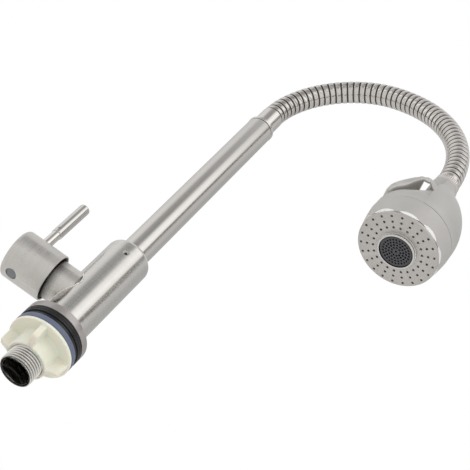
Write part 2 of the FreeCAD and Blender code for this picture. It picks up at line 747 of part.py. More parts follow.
def hose_path():
    """The hose's centre line, from the lower cuff's foot to the upper cuff's end."""
    straight = FreeCAD.Vector(0, 0, size.hose_dia.value)
    start, middle, end = on_bend(0)[0], on_bend(first_length)[0], on_bend(bend_length)[0]
    return Part.Wire([
        Part.LineSegment(start - straight, start).toShape(),
        Part.Arc(start, on_bend(first_length / 2)[0], middle).toShape(),
        Part.Arc(middle, on_bend((first_length + bend_length) / 2)[0], end).toShape(),
        Part.LineSegment(end, end - straight).toShape()])


def tube_on_path(radius):
    foot = Part.Circle(FreeCAD.Vector(0, 0, collar_top.value), FreeCAD.Vector(0, 0, 1), radius)
    return hose_path().makePipeShell([Part.Wire(foot.toShape())], True, True)


def make_gooseneck():
    """Flat bands with narrow grooves between them, round one open bore."""
    crest = size.hose_dia.value / 2
    floor = hose_floor.value
    pitch = bend_length / size.rib_count.value
    groove = size.groove_wide.value
    slope = groove / 4
    rings = []
    for band in range(int(size.rib_count.value)):
        start = band * pitch
        rings.append(ring_on_bend(start, floor))
        rings.append(ring_on_bend(start + groove - slope, floor))
        rings.append(ring_on_bend(start + groove, crest))
        rings.append(ring_on_bend(start + pitch - slope, crest))
    rings.append(ring_on_bend(bend_length, floor))
    bands = Part.makeLoft(rings, True, True)
    straight = size.hose_dia.value
    lower = Part.makeCylinder(cuff_r.value, straight, FreeCAD.Vector(0, 0, collar_top.value))
    upper_foot = on_bend(bend_length)[0] - FreeCAD.Vector(0, 0, straight)
    upper = Part.makeCylinder(floor, straight, upper_foot)
    hose = doc.addObject("Part::Feature", "gooseneck_hose")
    hose.Shape = bands.fuse([lower, upper]).cut(tube_on_path(size.hose_bore.value / 2))
    stand(hose, turn=about_z(size.spout_turn))


def make_liner():
    outer = size.liner_dia.value / 2
    inner = barb_r.value
    liner = doc.addObject("Part::Feature", "hose_liner")
    liner.Shape = tube_on_path(outer).cut(tube_on_path(inner))
    section = math.pi * (outer ** 2 - inner ** 2)
    ratio = liner.Shape.Volume / (section * hose_path().Length)
    print("water hose, volume against section times length:", round(ratio, 4))
    stand(liner, turn=about_z(size.spout_turn))


# Spray head: drawn on its own axis, with heights measured down from the gooseneck's last band
spout_side = math.radians(size.spout_turn.value)
spray_x = hose_reach * math.cos(spout_side)
spray_y = hose_reach * math.sin(spout_side)
head_r = size.head_dia / 2
inner_r = head_r - size.shell_wall
face_r = head_r - size.face_step
ledge_r = face_r - size.rim_wall
plate_r = face_r - size.plate_step
recess_foot = size.seam_depth - size.lip_high
neck_bore = hose_floor + size.loose_fit * 2
cuff_end = size.hose_dia
plate_front = size.face_depth + size.plate_thick
collar_end = size.seam_depth - size.shell_wall * 2
flange_back = collar_end - size.seal_thick - size.core_flange
pivot_r = size.pivot_dia / 2
spool_r = size.spool_dia / 2
spool_bore = spool_r + size.running_fit
ball_r = size.crank_ball / 2
slot_wide = size.crank_ball + size.running_fit * 2


def on_head(piece, turn=0):
    stand(piece, spray_x, spray_y, hose_end, about_z(size.head_turn + turn))


def make_ferrule():
    on_head(ring("hose_ferrule", hose_floor, size.ferrule_dia / 2, -size.neck_top, 0))


def make_shell():
    """A bell with a hump at the back; a wide finger recess leaves a lower shoulder under the lever."""
    neck_r = size.neck_dia / 2
    recess_r = size.recess_dia / 2
    outside = head_r + size.shell_wall
    inner_top = size.recess_top + size.shell_wall * 2
    body = turned("head_shell", [
        (neck_bore, -size.neck_top), (neck_r, -size.neck_top), (neck_r, -size.neck_foot),
        (size.hump_dia / 2, -size.hump_depth, size.flare_bend),
        (head_r, -recess_foot, -size.shoulder_bend), (head_r, -size.seam_depth),
        (inner_r, -size.seam_depth), (inner_r, -recess_foot - size.shell_wall), (neck_bore, -inner_top)])
    recess = new_sketch(body, "XZ_Plane")
    outline(recess, [
        (recess_r, -size.neck_foot), (outside, -size.neck_foot), (outside, -recess_foot),
        (head_r, -recess_foot), (recess_r, -size.recess_top)])
    groove = body.newObject("PartDesign::Groove", "head_shell_recess")
    groove.Profile = recess
    groove.ReferenceAxis = (recess, ["V_Axis"])
    groove.Angle = size.recess_angle.value
    bind(groove, "Angle", size.recess_angle)
    groove.Midplane = True
    cuts.append(groove)
    drill(body, "XZ_Plane", size.pivot_out, -size.pivot_depth, size.pivot_dia + size.running_fit * 2,
          size.head_dia / 2, size.head_dia)
    on_head(body)


def make_front_ring():
    """The head's lower part, with flat grip facets that lean into its lower edge."""
    body = turned("head_front_ring", [
        (ledge_r, -collar_end), (inner_r, -collar_end), (inner_r, -size.seam_depth),
        (head_r, -size.seam_depth), (face_r, -size.face_depth, -size.ring_bend),
        (ledge_r, -size.face_depth)])
    facet = outline(new_sketch(body, "XZ_Plane"), [
        (face_r - size.facet_deep, -size.face_depth), (face_r + size.facet_deep, -size.face_depth),
        (face_r + size.facet_deep, size.facet_rise - size.face_depth)])
    cut = pocket(body, facet, face_r)
    cut.Midplane = True
    ringed(body, cut, facet, "V_Axis", size.facet_count)
    on_head(body, size.facet_turn)
    seal = ring("chamber_seal", ledge_r, inner_r, -collar_end, -collar_end + size.seal_thick)
    on_head(seal)


def make_core():
    """Hose barb, stem with the spool's bore, distributor, flange and the tube round the aerator."""
    stem_r = size.core_neck / 2
    wide_r = size.core_dia / 2
    way_r = size.way_dia / 2
    thread = size.aerator_thread / 2
    tube_r = thread + size.core_tube
    barb_top = cuff_end - size.barb_long
    shoulder = flange_back - size.core_high + size.core_flange
    aerator_back = plate_front - size.aerator_long - size.seal_thick
    spool_foot = size.spool_top + size.spool_long
    body = turned("head_core", [
        (waterway_r, -barb_top), (barb_r, -barb_top), (barb_r, -cuff_end), (stem_r, -cuff_end),
        (stem_r, -shoulder), (wide_r, -shoulder), (wide_r, -flange_back), (inner_r, -flange_back),
        (inner_r, -flange_back - size.core_flange), (tube_r, -flange_back - size.core_flange),
        (tube_r, -size.face_depth), (thread, -size.face_depth), (thread, -aerator_back),
        (way_r, -aerator_back),
        (way_r, -spool_foot - size.gallery_dia), (spool_bore, -spool_foot - size.gallery_dia),
        (spool_bore, -size.spool_top), (waterway_r, -size.spool_top)])
    # Cross hole for the pivot shaft, and the slot from it to the spool for the crank
    drill(body, "XZ_Plane", size.pivot_out, -size.pivot_depth, size.pivot_dia + size.running_fit * 2,
          size.core_neck, size.core_neck * 2)
    slot = new_sketch(body, "XZ_Plane")
    outline(slot, [
        (0, -size.pivot_depth - ball_r), (size.pivot_out, -size.pivot_depth - ball_r),
        (size.pivot_out, -size.pivot_depth + ball_r), (0, -size.pivot_depth + ball_r)])
    cut = pocket(body, slot, size.crank_dia * 2)
    cut.Midplane = True
    # Galleries from the spool's foot out and down into the spray chamber
    gallery = tube_r + size.gallery_dia / 2
    level = flange_back - size.gallery_dia
    drill(body, "YZ_Plane", 0, -level, size.gallery_dia, -gallery, gallery * 2, forward=True)
    for side in (-1, 1):
        drill(body, "XY_Plane", gallery * side, 0, size.gallery_dia, -level, size.core_high)
    on_head(body)
    seal = ring("aerator_seal", size.insert_dia / 2 - size.seal_thick, thread,
                -aerator_back - size.seal_thick, -aerator_back)
    on_head(seal)


def make_spool():
    """A spool that the lever's crank draws along; a window near its top takes the crank's ball."""
    wire = size.spool_seal
    floor_r = spool_r - wire
    foot = size.spool_top + size.spool_long
    middle = size.pivot_depth + size.spool_dia
    points = [(0, -foot), (spool_r, -foot)]
    heights = [-foot + size.gallery_dia, -middle - wire * 2]
    for height in heights:
        points += [(spool_r, height), (floor_r, height), (floor_r, height + wire), (spool_r, height + wire)]
    points += [(spool_r, -size.spool_top), (0, -size.spool_top)]
    body = turned("diverter_spool", points)
    window = new_sketch(body, "YZ_Plane")
    half = slot_wide / 2
    outline(window, [
        (-half, -size.pivot_depth - half), (half, -size.pivot_depth - half),
        (half, -size.pivot_depth + half), (-half, -size.pivot_depth + half)])
    cut = pocket(body, window, size.spool_dia * 2)
    cut.Midplane = True
    on_head(body)
    seals = o_rings("spool_o_rings", spool_r - wire / 2 + size.running_fit / 2, wire,
                    [height + wire / 2 for height in heights])
    on_head(seals)


def make_spray_plate():
    body = ring("spray_plate", size.aerator_thread / 2, plate_r, -plate_front, -size.face_depth)
    rounded(body, size.plate_edge, (plate_r, -plate_front))
    jets = new_sketch(body, "XY_Plane", -plate_front)
    for step in range(3):
        hexagon(jets, plate_r - size.jet_margin - size.jet_step * step, 0, size.jet_dia)
    cut = pocket(body, jets, size.plate_thick, forward=True)
    ringed(body, cut, jets, "N_Axis", size.jet_count)
    on_head(body)


def make_aerator():
    thread = size.aerator_thread / 2
    bore = size.insert_dia / 2
    front = plate_front + size.aerator_proud
    back = plate_front - size.aerator_long
    bezel = turned("aerator_ring", [
        (bore, -front), (size.aerator_dia / 2 - size.insert_wall / 2, -front),
        (size.aerator_dia / 2, -front + size.insert_wall / 2), (size.aerator_dia / 2, -plate_front),
        (thread, -plate_front), (thread, -back), (bore, -back)])
    on_head(bezel)
    face = front - size.insert_sunk
    inside = bore - size.insert_wall
    groove = bore * 0.62
    insert = turned("aerator_insert", [
        (0, -face), (groove, -face), (groove, -face + size.insert_wall / 2),
        (groove + size.insert_wall / 2, -face + size.insert_wall / 2), (groove + size.insert_wall / 2, -face),
        (bore, -face), (bore, -back), (inside, -back), (inside, -face + size.insert_wall),
        (0, -face + size.insert_wall)])
    on_head(insert)


def make_diverter_lever():
    """An arched arm for one finger, on a yoke whose two legs straddle the neck."""
    yoke = new_lever_outline()
    body = new_body("diverter_lever")
    pad_profile(body, yoke["arm"], size.arm_wide, 0)
    round_tip(body)
    pad_profile(body, yoke["yoke"], size.leg_gap + size.leg_thick * 2, 0)
    for side in (-1, 1):
        pad_profile(body, yoke["leg"], size.leg_thick, (size.leg_gap + size.leg_thick) / 2 * side)
    drill(body, "XZ_Plane", size.pivot_out, -size.pivot_depth, size.pivot_dia, size.head_dia / 2,
          size.head_dia)
    on_head(body)


def new_lever_outline():
    """Side views of the lever's arm, yoke and legs."""
    top = -size.crest_depth
    under = top - size.arm_thick * 1.3
    tip = -size.arm_foot
    front = size.crest_out + size.arm_thick
    half = size.leg_wide / 2
    return {
        "arm": [
            (size.crest_out, top), (size.arm_reach, tip, -size.arm_bend),
            (size.arm_reach - size.arm_thick, tip), (size.crest_out, under, size.arm_bend - size.arm_thick)],
        "yoke": [
            (size.crest_out, top), (front, top - size.arm_thick / 2), (front, under), (size.crest_out, under)],
        "leg": [
            (size.crest_out, top), (front, top - size.arm_thick / 2),
            (size.pivot_out + half, -size.pivot_depth), (size.pivot_out, -size.pivot_depth - half, -half),
            (size.pivot_out - half, -size.pivot_depth, -half)]}


def pad_profile(body, points, wide, middle):
    """Pads a side view to both sides of a plane beside the head's axis."""
    sketch = outline(new_sketch(body, "XZ_Plane", middle), points)
    pad = body.newObject("PartDesign::Pad", body.Label + "_pad")
    pad.Profile = sketch
    pad.Length = number(wide)
    bind(pad, "Length", wide)
    pad.Midplane = True


def round_tip(body):
    """Rounds the two corners of the arm's tip, as seen from in front."""
    doc.recompute()
    base = body.Tip
    names = []
    for index, edge in enumerate(base.Shape.Edges, start=1):
        at_tip = all(abs(corner.Z + size.arm_foot.value) < same_place for corner in edge.Vertexes)
        if at_tip and abs(edge.Vertexes[0].Y - edge.Vertexes[-1].Y) < same_place:
            names.append("Edge%d" % index)
    fillet = body.newObject("PartDesign::Fillet", body.Label + "_tip")
    fillet.Base = (base, names)
    bind(fillet, "Radius", size.arm_corner)


def make_pivot():
    """The lever's shaft through the neck, with a ball-ended crank that reaches into the spool."""
    shaft = doc.addObject("Part::Cylinder", "pivot_shaft")
    bind(shaft, "Radius", pivot_r)
    bind(shaft, "Height", size.leg_gap + size.leg_thick * 2)
    crank = doc.addObject("Part::Cylinder", "pivot_crank")
    bind(crank, "Radius", size.crank_dia / 2)
    bind(crank, "Height", size.pivot_out)
    ball = doc.addObject("Part::Sphere", "pivot_ball")
    bind(ball, "Radius", ball_r)
    along_y = FreeCAD.Rotation(FreeCAD.Vector(1, 0, 0), 90)
    along_x = FreeCAD.Rotation(FreeCAD.Vector(0, 1, 0), 90)
    shaft.Placement = FreeCAD.Placement(FreeCAD.Vector(0, 0, 0), along_y)
    bind(shaft, "Placement.Base.x", size.pivot_out)
    bind(shaft, "Placement.Base.y", size.leg_gap / 2 + size.leg_thick)
    bind(shaft, "Placement.Base.z", -size.pivot_depth)
    crank.Placement = FreeCAD.Placement(FreeCAD.Vector(0, 0, 0), along_x)
    bind(crank, "Placement.Base.z", -size.pivot_depth)
    bind(ball, "Placement.Base.z", -size.pivot_depth)
    whole = doc.addObject("Part::MultiFuse", "diverter_pivot")
    whole.Shapes = [shaft, crank, ball]
    on_head(whole)


for make in (
        make_body, make_shank, make_clamping, make_branch, make_headwork, make_discs, make_spindle,
        make_cap, make_hub, make_handle_fixings, make_lever, make_spigot, make_spout_fixings,
        make_riser, make_adapter, make_gooseneck, make_liner, make_ferrule, make_shell,
        make_front_ring, make_core, make_spool, make_spray_plate, make_aerator,
        make_diverter_lever, make_pivot):
    make()
doc.recompute()

for item in doc.Objects:
    if "Invalid" in item.State or "Error" in item.State:
        raise RuntimeError("failed: " + item.Label)
for cut in cuts:
    if cut.BaseFeature.Shape.Volume - cut.Shape.Volume < 1e-3:
        raise RuntimeError("cuts nothing: " + cut.Label)
for label, piece in parts.items():
    if piece.Shape.isNull() or not piece.Shape.isValid():
        raise RuntimeError("bad shape: " + label)

os.makedirs("parts", exist_ok=True)
for label, piece in parts.items():
    piece.Shape.exportStep("parts/" + label + ".step")
print(len(parts), "sub-parts")
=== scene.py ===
import math

import bmesh
import bpy
import numpy as np
from mathutils import Matrix, Vector


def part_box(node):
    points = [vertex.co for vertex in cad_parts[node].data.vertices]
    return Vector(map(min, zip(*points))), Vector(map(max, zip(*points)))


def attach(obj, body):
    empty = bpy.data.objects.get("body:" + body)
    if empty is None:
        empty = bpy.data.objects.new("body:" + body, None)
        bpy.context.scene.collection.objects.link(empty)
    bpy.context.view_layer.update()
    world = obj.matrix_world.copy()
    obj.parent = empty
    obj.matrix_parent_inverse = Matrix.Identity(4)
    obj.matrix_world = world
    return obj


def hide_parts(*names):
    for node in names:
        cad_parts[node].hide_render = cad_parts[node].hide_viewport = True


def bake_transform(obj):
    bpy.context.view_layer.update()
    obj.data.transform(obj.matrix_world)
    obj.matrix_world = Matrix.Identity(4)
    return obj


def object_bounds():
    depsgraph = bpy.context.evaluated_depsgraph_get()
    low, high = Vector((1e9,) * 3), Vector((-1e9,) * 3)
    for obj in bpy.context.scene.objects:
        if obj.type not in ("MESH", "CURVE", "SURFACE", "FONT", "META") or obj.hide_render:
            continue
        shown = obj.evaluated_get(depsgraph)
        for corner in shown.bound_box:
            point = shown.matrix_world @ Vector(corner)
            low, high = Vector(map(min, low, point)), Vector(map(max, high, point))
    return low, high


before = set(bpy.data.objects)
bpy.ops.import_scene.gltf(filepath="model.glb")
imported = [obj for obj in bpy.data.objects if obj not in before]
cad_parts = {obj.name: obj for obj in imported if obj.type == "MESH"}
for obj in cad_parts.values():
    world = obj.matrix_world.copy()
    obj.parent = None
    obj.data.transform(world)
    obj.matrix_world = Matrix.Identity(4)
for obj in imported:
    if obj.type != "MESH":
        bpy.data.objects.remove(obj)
cad_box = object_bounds()
scene = bpy.context.scene
scene.view_settings.view_transform = "Standard"

# Camera. It looks up at the tap from in front of the head and below the worktop, as the photograph does,
# with a strong roll. Metres, in the frame's own axes.
camera_eye = Vector((-0.16405, 0.61045, -0.48221))
camera_aim = Vector((-0.04984, 0.06172, 0.08867))
camera_up = Vector((0.5610, 0.6500, 0.5126))
film_wide = 36
focal_length = 109.47
nearest_seen = 0.01

look = (camera_aim - camera_eye).normalized()
right = look.cross(camera_up).normalized()
camera_turn = Matrix((right, right.cross(look), -look)).transposed().to_4x4()
camera = bpy.data.objects.new("camera", bpy.data.cameras.new("camera"))
camera.data.sensor_width = film_wide
camera.data.lens = focal_length
camera.data.clip_start = nearest_seen
camera.matrix_world = Matrix.Translation(camera_eye) @ camera_turn
scene.collection.objects.link(camera)
scene.camera = camera


# Studio. A white surround, with soft boxes and black flags round the tap that give bright metal its
# lengthwise bands, and a pale floor that is only seen from above. A band is an angle and a level: round the
# tap from +X for the walls and the narrow horizon, and from straight down (0) towards -Y (-90) and +Y (90)
# for the low side. Walls and overhead fade in with the height of a direction, the horizon near its own.
wall_bands = (
    (-180, 0.70), (-150, 0.55), (-95, 0.52), (-60, 0.62), (-20, 0.85), (8, 0.98), (28, 0.88), (45, 0.46),
    (75, 0.36), (86, 0.60), (97, 1.20), (120, 1.45), (138, 1.20), (144, 0.30), (152, 0.34), (158, 0.66),
    (180, 0.70))
low_bands = (
    (-180, 0.7), (-120, 0.7), (-90, 0.85), (-60, 0.98), (-44, 0.95), (-36, 0.42), (-22, 0.46), (0, 0.60),
    (25, 0.80), (45, 0.92), (68, 0.80), (95, 0.66), (120, 0.60), (150, 0.85), (180, 0.7))
horizon_bands = (
    (-180, 0.7), (-60, 0.8), (-30, 1.3), (36, 1.4), (46, 0.4), (72, 0.4), (80, 1.3), (100, 1.5), (150, 1.5),
    (180, 0.7))
band_peak = 1.5
overhead = 0.85
walls_fade = (0.30, 0.52)
overhead_fade = (0.76, 0.88)
horizon_high = 0.02
horizon_fade = (0.15, 0.07)
lamps = (("lamp_front", (-0.5, -0.9, 0.9), 3.0), ("lamp_back", (-0.3, 1.1, 0.8), 4.8),
         ("lamp_side", (1.2, 0.2, 0.5), 1.8))
lamp_size = 0.9
floor_drop = 0.0004
floor_half = 2.5
floor_colour = (0.86, 0.86, 0.85, 1)


def empty_tree(owner):
    """The node tree of a material or a world, with nothing in it yet."""
    owner.use_nodes = True
    owner.node_tree.nodes.clear()
    return owner.node_tree


def feed(tree, socket, value):
    """Links another node's output to an input, or sets the input to a plain value."""
    if isinstance(value, bpy.types.NodeSocket):
        tree.links.new(value, socket)
    else:
        socket.default_value = value


def new_node(tree, kind, *values, **named):
    """Adds a shader node. Names that are attributes are set on the node and the others on its inputs; values
    without a name go to its inputs in order. Each is a plain value or a socket."""
    node = tree.nodes.new("ShaderNode" + kind)
    for name, value in named.items():
        if hasattr(node, name):
            setattr(node, name, value)
        else:
            feed(tree, node.inputs[name.replace("_", " ")], value)
    for socket, value in zip(node.inputs, values):
        feed(tree, socket, value)
    return node


def calculate(tree, operation, *values):
    """One Math node."""
    return new_node(tree, "Math", *values, operation=operation).outputs[0]


def parts_of(tree, vector):
    """A vector's X, Y and Z."""
    return new_node(tree, "SeparateXYZ", vector).outputs


def mask(tree, value, none, full, kind="LINEAR"):
    """Goes from 0 where a value is none to 1 where it is full."""
    return new_node(tree, "MapRange", value, none, full, interpolation_type=kind).outputs[0]


def mixed(tree, share, low, high, kind="RGBA"):
    """A colour, or a number where kind is FLOAT, that goes from low to high with a share."""
    first, second, result = (6, 7, 2) if kind == "RGBA" else (2, 3, 0)
    node = new_node(tree, "Mix", data_type=kind, Factor=share)
    feed(tree, node.inputs[first], low)
    feed(tree, node.inputs[second], high)
    return node.outputs[result]


def band_ramp(tree, turn, bands):
    """A level that follows an angle in radians, through a list of (degrees, level)."""
    ramp = new_node(tree, "ValToRGB", calculate(tree, "MULTIPLY_ADD", turn, 0.5 / math.pi, 0.5))
    stops = ramp.color_ramp.elements
    for number, (angle, level) in enumerate(bands):
        place = angle / 360 + 0.5
        stop = stops[number] if number < 2 else stops.new(place)
        stop.position = place
        stop.color = (level / band_peak,) * 3 + (1,)
    return calculate(tree, "MULTIPLY", ramp.outputs[0], band_peak)


def studio_world():
    """Camera rays see plain white; the rest see the bands by direction round the tap."""
    scene.world = bpy.data.worlds.new("studio")
    tree = empty_tree(scene.world)
    way = parts_of(tree, new_node(tree, "TexCoord").outputs["Generated"])
    down = calculate(tree, "MULTIPLY", way["Z"], -1.0)
    level = band_ramp(tree, calculate(tree, "ARCTAN2", way["Y"], down), low_bands)
    round_tap = calculate(tree, "ARCTAN2", way["Y"], way["X"])
    from_horizon = calculate(tree, "ABSOLUTE", calculate(tree, "SUBTRACT", way["Z"], horizon_high))
    for height, fade, seen in ((way["Z"], walls_fade, band_ramp(tree, round_tap, wall_bands)),
                               (way["Z"], overhead_fade, overhead),
                               (from_horizon, horizon_fade, band_ramp(tree, round_tap, horizon_bands))):
        change = calculate(tree, "SUBTRACT", seen, level)
        level = calculate(tree, "MULTIPLY_ADD", change, mask(tree, height, *fade, "SMOOTHSTEP"), level)
    rays = new_node(tree, "LightPath").outputs
    direct = calculate(tree, "MAXIMUM", rays["Is Camera Ray"], rays["Is Transmission Ray"])
    strength = mixed(tree, direct, level, 1.0, "FLOAT")
    background = new_node(tree, "Background", (1, 1, 1, 1), strength)
    new_node(tree, "OutputWorld", background.outputs[0])


def studio_lamp(name, place, power):
    """A square soft box that faces the tap's middle."""
    data = bpy.data.lights.new(name, "AREA")
    data.size = lamp_size
    data.energy = power
    lamp = bpy.data.objects.new(name, data)
    facing = (camera_aim - place).to_track_quat("-Z", "Y").to_matrix().to_4x4()
    lamp.matrix_world = Matrix.Translation(place) @ facing
    lamp.visible_glossy = False
    scene.collection.objects.link(lamp)


def studio_floor():
    """A pale sheet just under the shank, seen from above only: its underside lets everything through."""
    material = bpy.data.materials.new("pale_floor")
    tree = empty_tree(material)
    pale = new_node(tree, "BsdfDiffuse", floor_colour)
    clear = new_node(tree, "BsdfTransparent")
    side = new_node(tree, "NewGeometry").outputs["Backfacing"]
    either = new_node(tree, "MixShader", side, pale.outputs[0], clear.outputs[0])
    new_node(tree, "OutputMaterial", either.outputs[0])
    low = cad_box[0][2] - floor_drop
    corners = [(x * floor_half, y * floor_half, low) for x, y in ((-1, -1), (1, -1), (1, 1), (-1, 1))]
    mesh = bpy.data.meshes.new("floor")
    mesh.from_pydata(corners, [], [(0, 1, 2, 3)])
    mesh.materials.append(material)
    floor = bpy.data.objects.new("floor", mesh)
    scene.collection.objects.link(floor)


studio_world()
studio_floor()
for lamp_name, lamp_place, lamp_power in lamps:
    studio_lamp(lamp_name, Vector(lamp_place), lamp_power)


# Main body. A turned tube of stainless steel with its base flange, brushed round its axis, and a hole at the
# back for the spout's screw. The flange's steel is painted darker than the tube's, as shade. The valve branch
# is welded to its side with a narrow round bead. Sizes in millimetres, with heights counted from the
# flange's underside, which lies on the gasket.
MM = 0.001
gasket_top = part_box("base_gasket")[1][2] / MM
body_r = 14.3
body_high = 81.5
body_edge = 3.6
flange_r = 20.2
flange_thick = 5
flange_root = 4
flange_edge = 0.7
flange_skin = 1.2
foot_r = 18.6
foot_low = 1
shank_r = 10.45
shank_high = 14
bore_r = 8.4
inlet_depth = 21
upper_floor = 50
socket_r = 9.25
lip_r = 9.35
lip_thick = 1
bush_r = 10.3
bush_foot = 74
spout_screw_high = 69.9
spout_screw_r = 2
spout_screw_ends = (5, 18)
branch_high = 33.9
branch_r = 12.45
weld_r = 0.55
steel_tint = (0.66, 0.64, 0.61, 1)
# The flange's tint is the body's steel painted darker: painted shade.
flange_shaded_tint = (0.50, 0.47, 0.455, 1)
weld_tint = (0.78, 0.76, 0.73, 1)
crease = math.radians(35)
upright_axis = (0, 0, 1)


def unit(vector):
    """The same direction, one long."""
    return vector / np.linalg.norm(vector)


def arc(centre, first, last, sweep, steps):
    """Points from one end of an arc to the other, by the two spokes from its centre: with a share s of the
    sweep w, a point is centre + (sin((1 - s) w) first + sin(s w) last) / sin w."""
    share = np.linspace(0, 1, steps + 1)[:, None]
    return centre + (np.sin((1 - share) * sweep) * first + np.sin(share * sweep) * last) / np.sin(sweep)


def rounded(*corners, steps=6):
    """A closed outline. A corner with a third value is an arc of that radius, whose centre lies on the
    corner's bisector at radius / sin(half the corner's angle)."""
    corners = [np.array(corner, float) for corner in corners]
    parts = []
    for before, corner, after in zip(corners[-1:] + corners[:-1], corners, corners[1:] + corners[:1]):
        spot = corner[:2]
        if len(corner) < 3:
            parts.append(spot[None])
            continue
        back = unit(before[:2] - spot)
        ahead = unit(after[:2] - spot)
        half = np.arccos(np.clip(back @ ahead, -1, 1)) / 2
        centre = spot + unit(back + ahead) * corner[2] / np.sin(half)
        first = spot + back * corner[2] / np.tan(half) - centre
        last = spot + ahead * corner[2] / np.tan(half) - centre
        parts.append(arc(centre, first, last, np.pi - 2 * half, steps))
    return np.concatenate(parts)


def skin(name, grids, smooth_under=crease, capped=()):
    """One piece of point grids, in mm, each rows by columns and closed round its columns. The rows of grids
    close on themselves too, those of capped have the first and the last filled. Points that fall together
    are merged, faces turned outwards, and edges shaded smooth up to an angle."""
    points, faces, count = [], [], 0
    for number, grid in enumerate([*grids, *capped]):
        rows, columns = grid.shape[:2]
        index = count + np.arange(rows * columns).reshape(rows, columns)
        if number < len(grids):
            index = np.vstack([index, index[:1]])
        else:
            faces += [index[0][::-1].tolist(), index[-1].tolist()]
        index = np.hstack([index, index[:, :1]])
        quads = np.stack([index[:-1, :-1], index[:-1, 1:], index[1:, 1:], index[1:, :-1]], -1)
        faces += quads.reshape(-1, 4).tolist()
        points.append(grid.reshape(-1, 3) * MM)
        count += rows * columns
    mesh = bpy.data.meshes.new(name)
    mesh.from_pydata(np.concatenate(points).tolist(), [], faces)
    work = bmesh.new()
    work.from_mesh(mesh)
    bmesh.ops.remove_doubles(work, verts=work.verts, dist=1e-7)
    bmesh.ops.recalc_face_normals(work, faces=work.faces)
    work.to_mesh(mesh)
    work.free()
    mesh.shade_smooth()
    mesh.set_sharp_from_angle(angle=smooth_under)
    piece = bpy.data.objects.new(name, mesh)
    scene.collection.objects.link(piece)
    return piece


def full_turn(count):
    """Angles spread evenly over a turn."""
    return np.linspace(0, 2 * np.pi, count, endpoint=False)


def round_z(radius, turn, height):
    """Points round +Z: x = r cos a, y = r sin a, z = h."""
    return np.stack([radius * np.cos(turn), radius * np.sin(turn), height + 0 * turn], -1)


def revolve(outline, segments=128):
    """Points of an outline of (radius, height) carried round +Z."""
    outline = np.array(outline, float)
    return round_z(outline[:, :1], full_turn(segments), outline[:, 1:])


def turned(name, place, corners, segments=128, steps=6):
    """A piece turned from the corners of its outline, then moved to its place."""
    return skin(name, [place(revolve(rounded(*corners, steps=steps), segments))])


def peg(radius, low, high, segments):
    """Points of a cylinder that cuts a hole."""
    return revolve([(0, low), (radius, low), (radius, high), (0, high)], segments)


def upright(points):
    """From heights above the flange's underside to the frame."""
    return points + (0, 0, gasket_top)


def facing_back(points):
    """From an upright axis to the spout screw's, which points towards +Y."""
    return upright(points[..., [0, 2, 1]] * (1, 1, -1) + (0, 0, spout_screw_high))


def weld_bead(segments=200, steps=20):
    """A round bead on the line where two crossed tubes meet, x = sqrt(R^2 - (r sin t)^2), y = r sin t,
    z = r cos t. Its section is a circle in the plane of the branch's axis and radius."""
    turn = full_turn(segments)
    corner = np.stack([np.sqrt(body_r ** 2 - (branch_r * np.sin(turn)) ** 2),
                       branch_r * np.sin(turn), branch_r * np.cos(turn)], -1)
    outward = np.stack([0 * turn, np.sin(turn), np.cos(turn)], -1)
    side = full_turn(steps)[:, None, None]
    section = np.cos(side) * np.array([1, 0, 0]) + np.sin(side) * outward
    return upright(corner + section * weld_r + (0, 0, branch_high))


def baked(piece):
    """Makes the mesh that a piece's modifiers show its own, and removes them."""
    graph = bpy.context.evaluated_depsgraph_get()
    done = bpy.data.meshes.new_from_object(piece.evaluated_get(graph))
    piece.modifiers.clear()
    piece.data = done
    piece.data.shade_smooth()


def cut_out(piece, *tools):
    """Takes the shapes of some point grids out of a piece."""
    tool = skin("tool", tools)
    change = piece.modifiers.new("cut", "BOOLEAN")
    change.operation = "DIFFERENCE"
    change.solver = "EXACT"
    change.object = tool
    baked(piece)
    bpy.data.objects.remove(tool)
    piece.data.set_sharp_from_angle(angle=crease)


def group_of(name, results, **numbers):
    """An empty shader node group that takes a Coordinate and some numbers, with its own two ends."""
    tree = bpy.data.node_groups.new(name, "ShaderNodeTree")
    tree.interface.new_socket("Coordinate", in_out="INPUT", socket_type="NodeSocketVector")
    for socket, value in numbers.items():
        made = tree.interface.new_socket(socket, in_out="INPUT", socket_type="NodeSocketFloat")
        made.default_value = value
    for socket in results:
        kind = "NodeSocketVector" if socket == "Coordinate" else "NodeSocketFloat"
        tree.interface.new_socket(socket, in_out="OUTPUT", socket_type=kind)
    return tree, tree.nodes.new("NodeGroupInput").outputs, tree.nodes.new("NodeGroupOutput").inputs


def noise(tree, coordinate, **values):
    """One Noise Texture."""
    return new_node(tree, "TexNoise", Vector=coordinate, **values).outputs[0]


def brushing_group():
    """Fine parallel scratches. The coordinate is stretched by the material, short across the brushing and
    long along it; two sizes of noise give the height, and their sum a mask of duller strokes."""
    tree, given, out = group_of("brushing", ("Height", "Strokes"), Coarse=0.35)
    fine = noise(tree, given["Coordinate"], Scale=1.0, Detail=3.0, Roughness=0.65)
    coarse = noise(tree, given["Coordinate"], Scale=0.17, Detail=2.0, Roughness=0.5)
    height = mixed(tree, given["Coarse"], fine, coarse, "FLOAT")
    feed(tree, out["Height"], height)
    feed(tree, out["Strokes"], mask(tree, height, 0.38, 0.66))
    return tree


def handling_group():
    """Smears left by hands and water, as a mask, and the rubbed edges of a piece, from its pointiness."""
    tree, given, out = group_of("handling", ("Smears", "Edges"), Patch=60.0)
    patch = noise(tree, given["Coordinate"], Scale=given["Patch"], Detail=4.0, Roughness=0.6, Distortion=0.6)
    feed(tree, out["Smears"], mask(tree, patch, 0.42, 0.72))
    pointed = new_node(tree, "NewGeometry").outputs["Pointiness"]
    feed(tree, out["Edges"], mask(tree, pointed, 0.52, 0.60))
    return tree


def off_axis(tree, place):
    """How far a place is from the Z axis."""
    flat = new_node(tree, "VectorMath", place, (1, 1, 0), operation="MULTIPLY")
    return new_node(tree, "VectorMath", flat.outputs[0], operation="LENGTH").outputs["Value"]


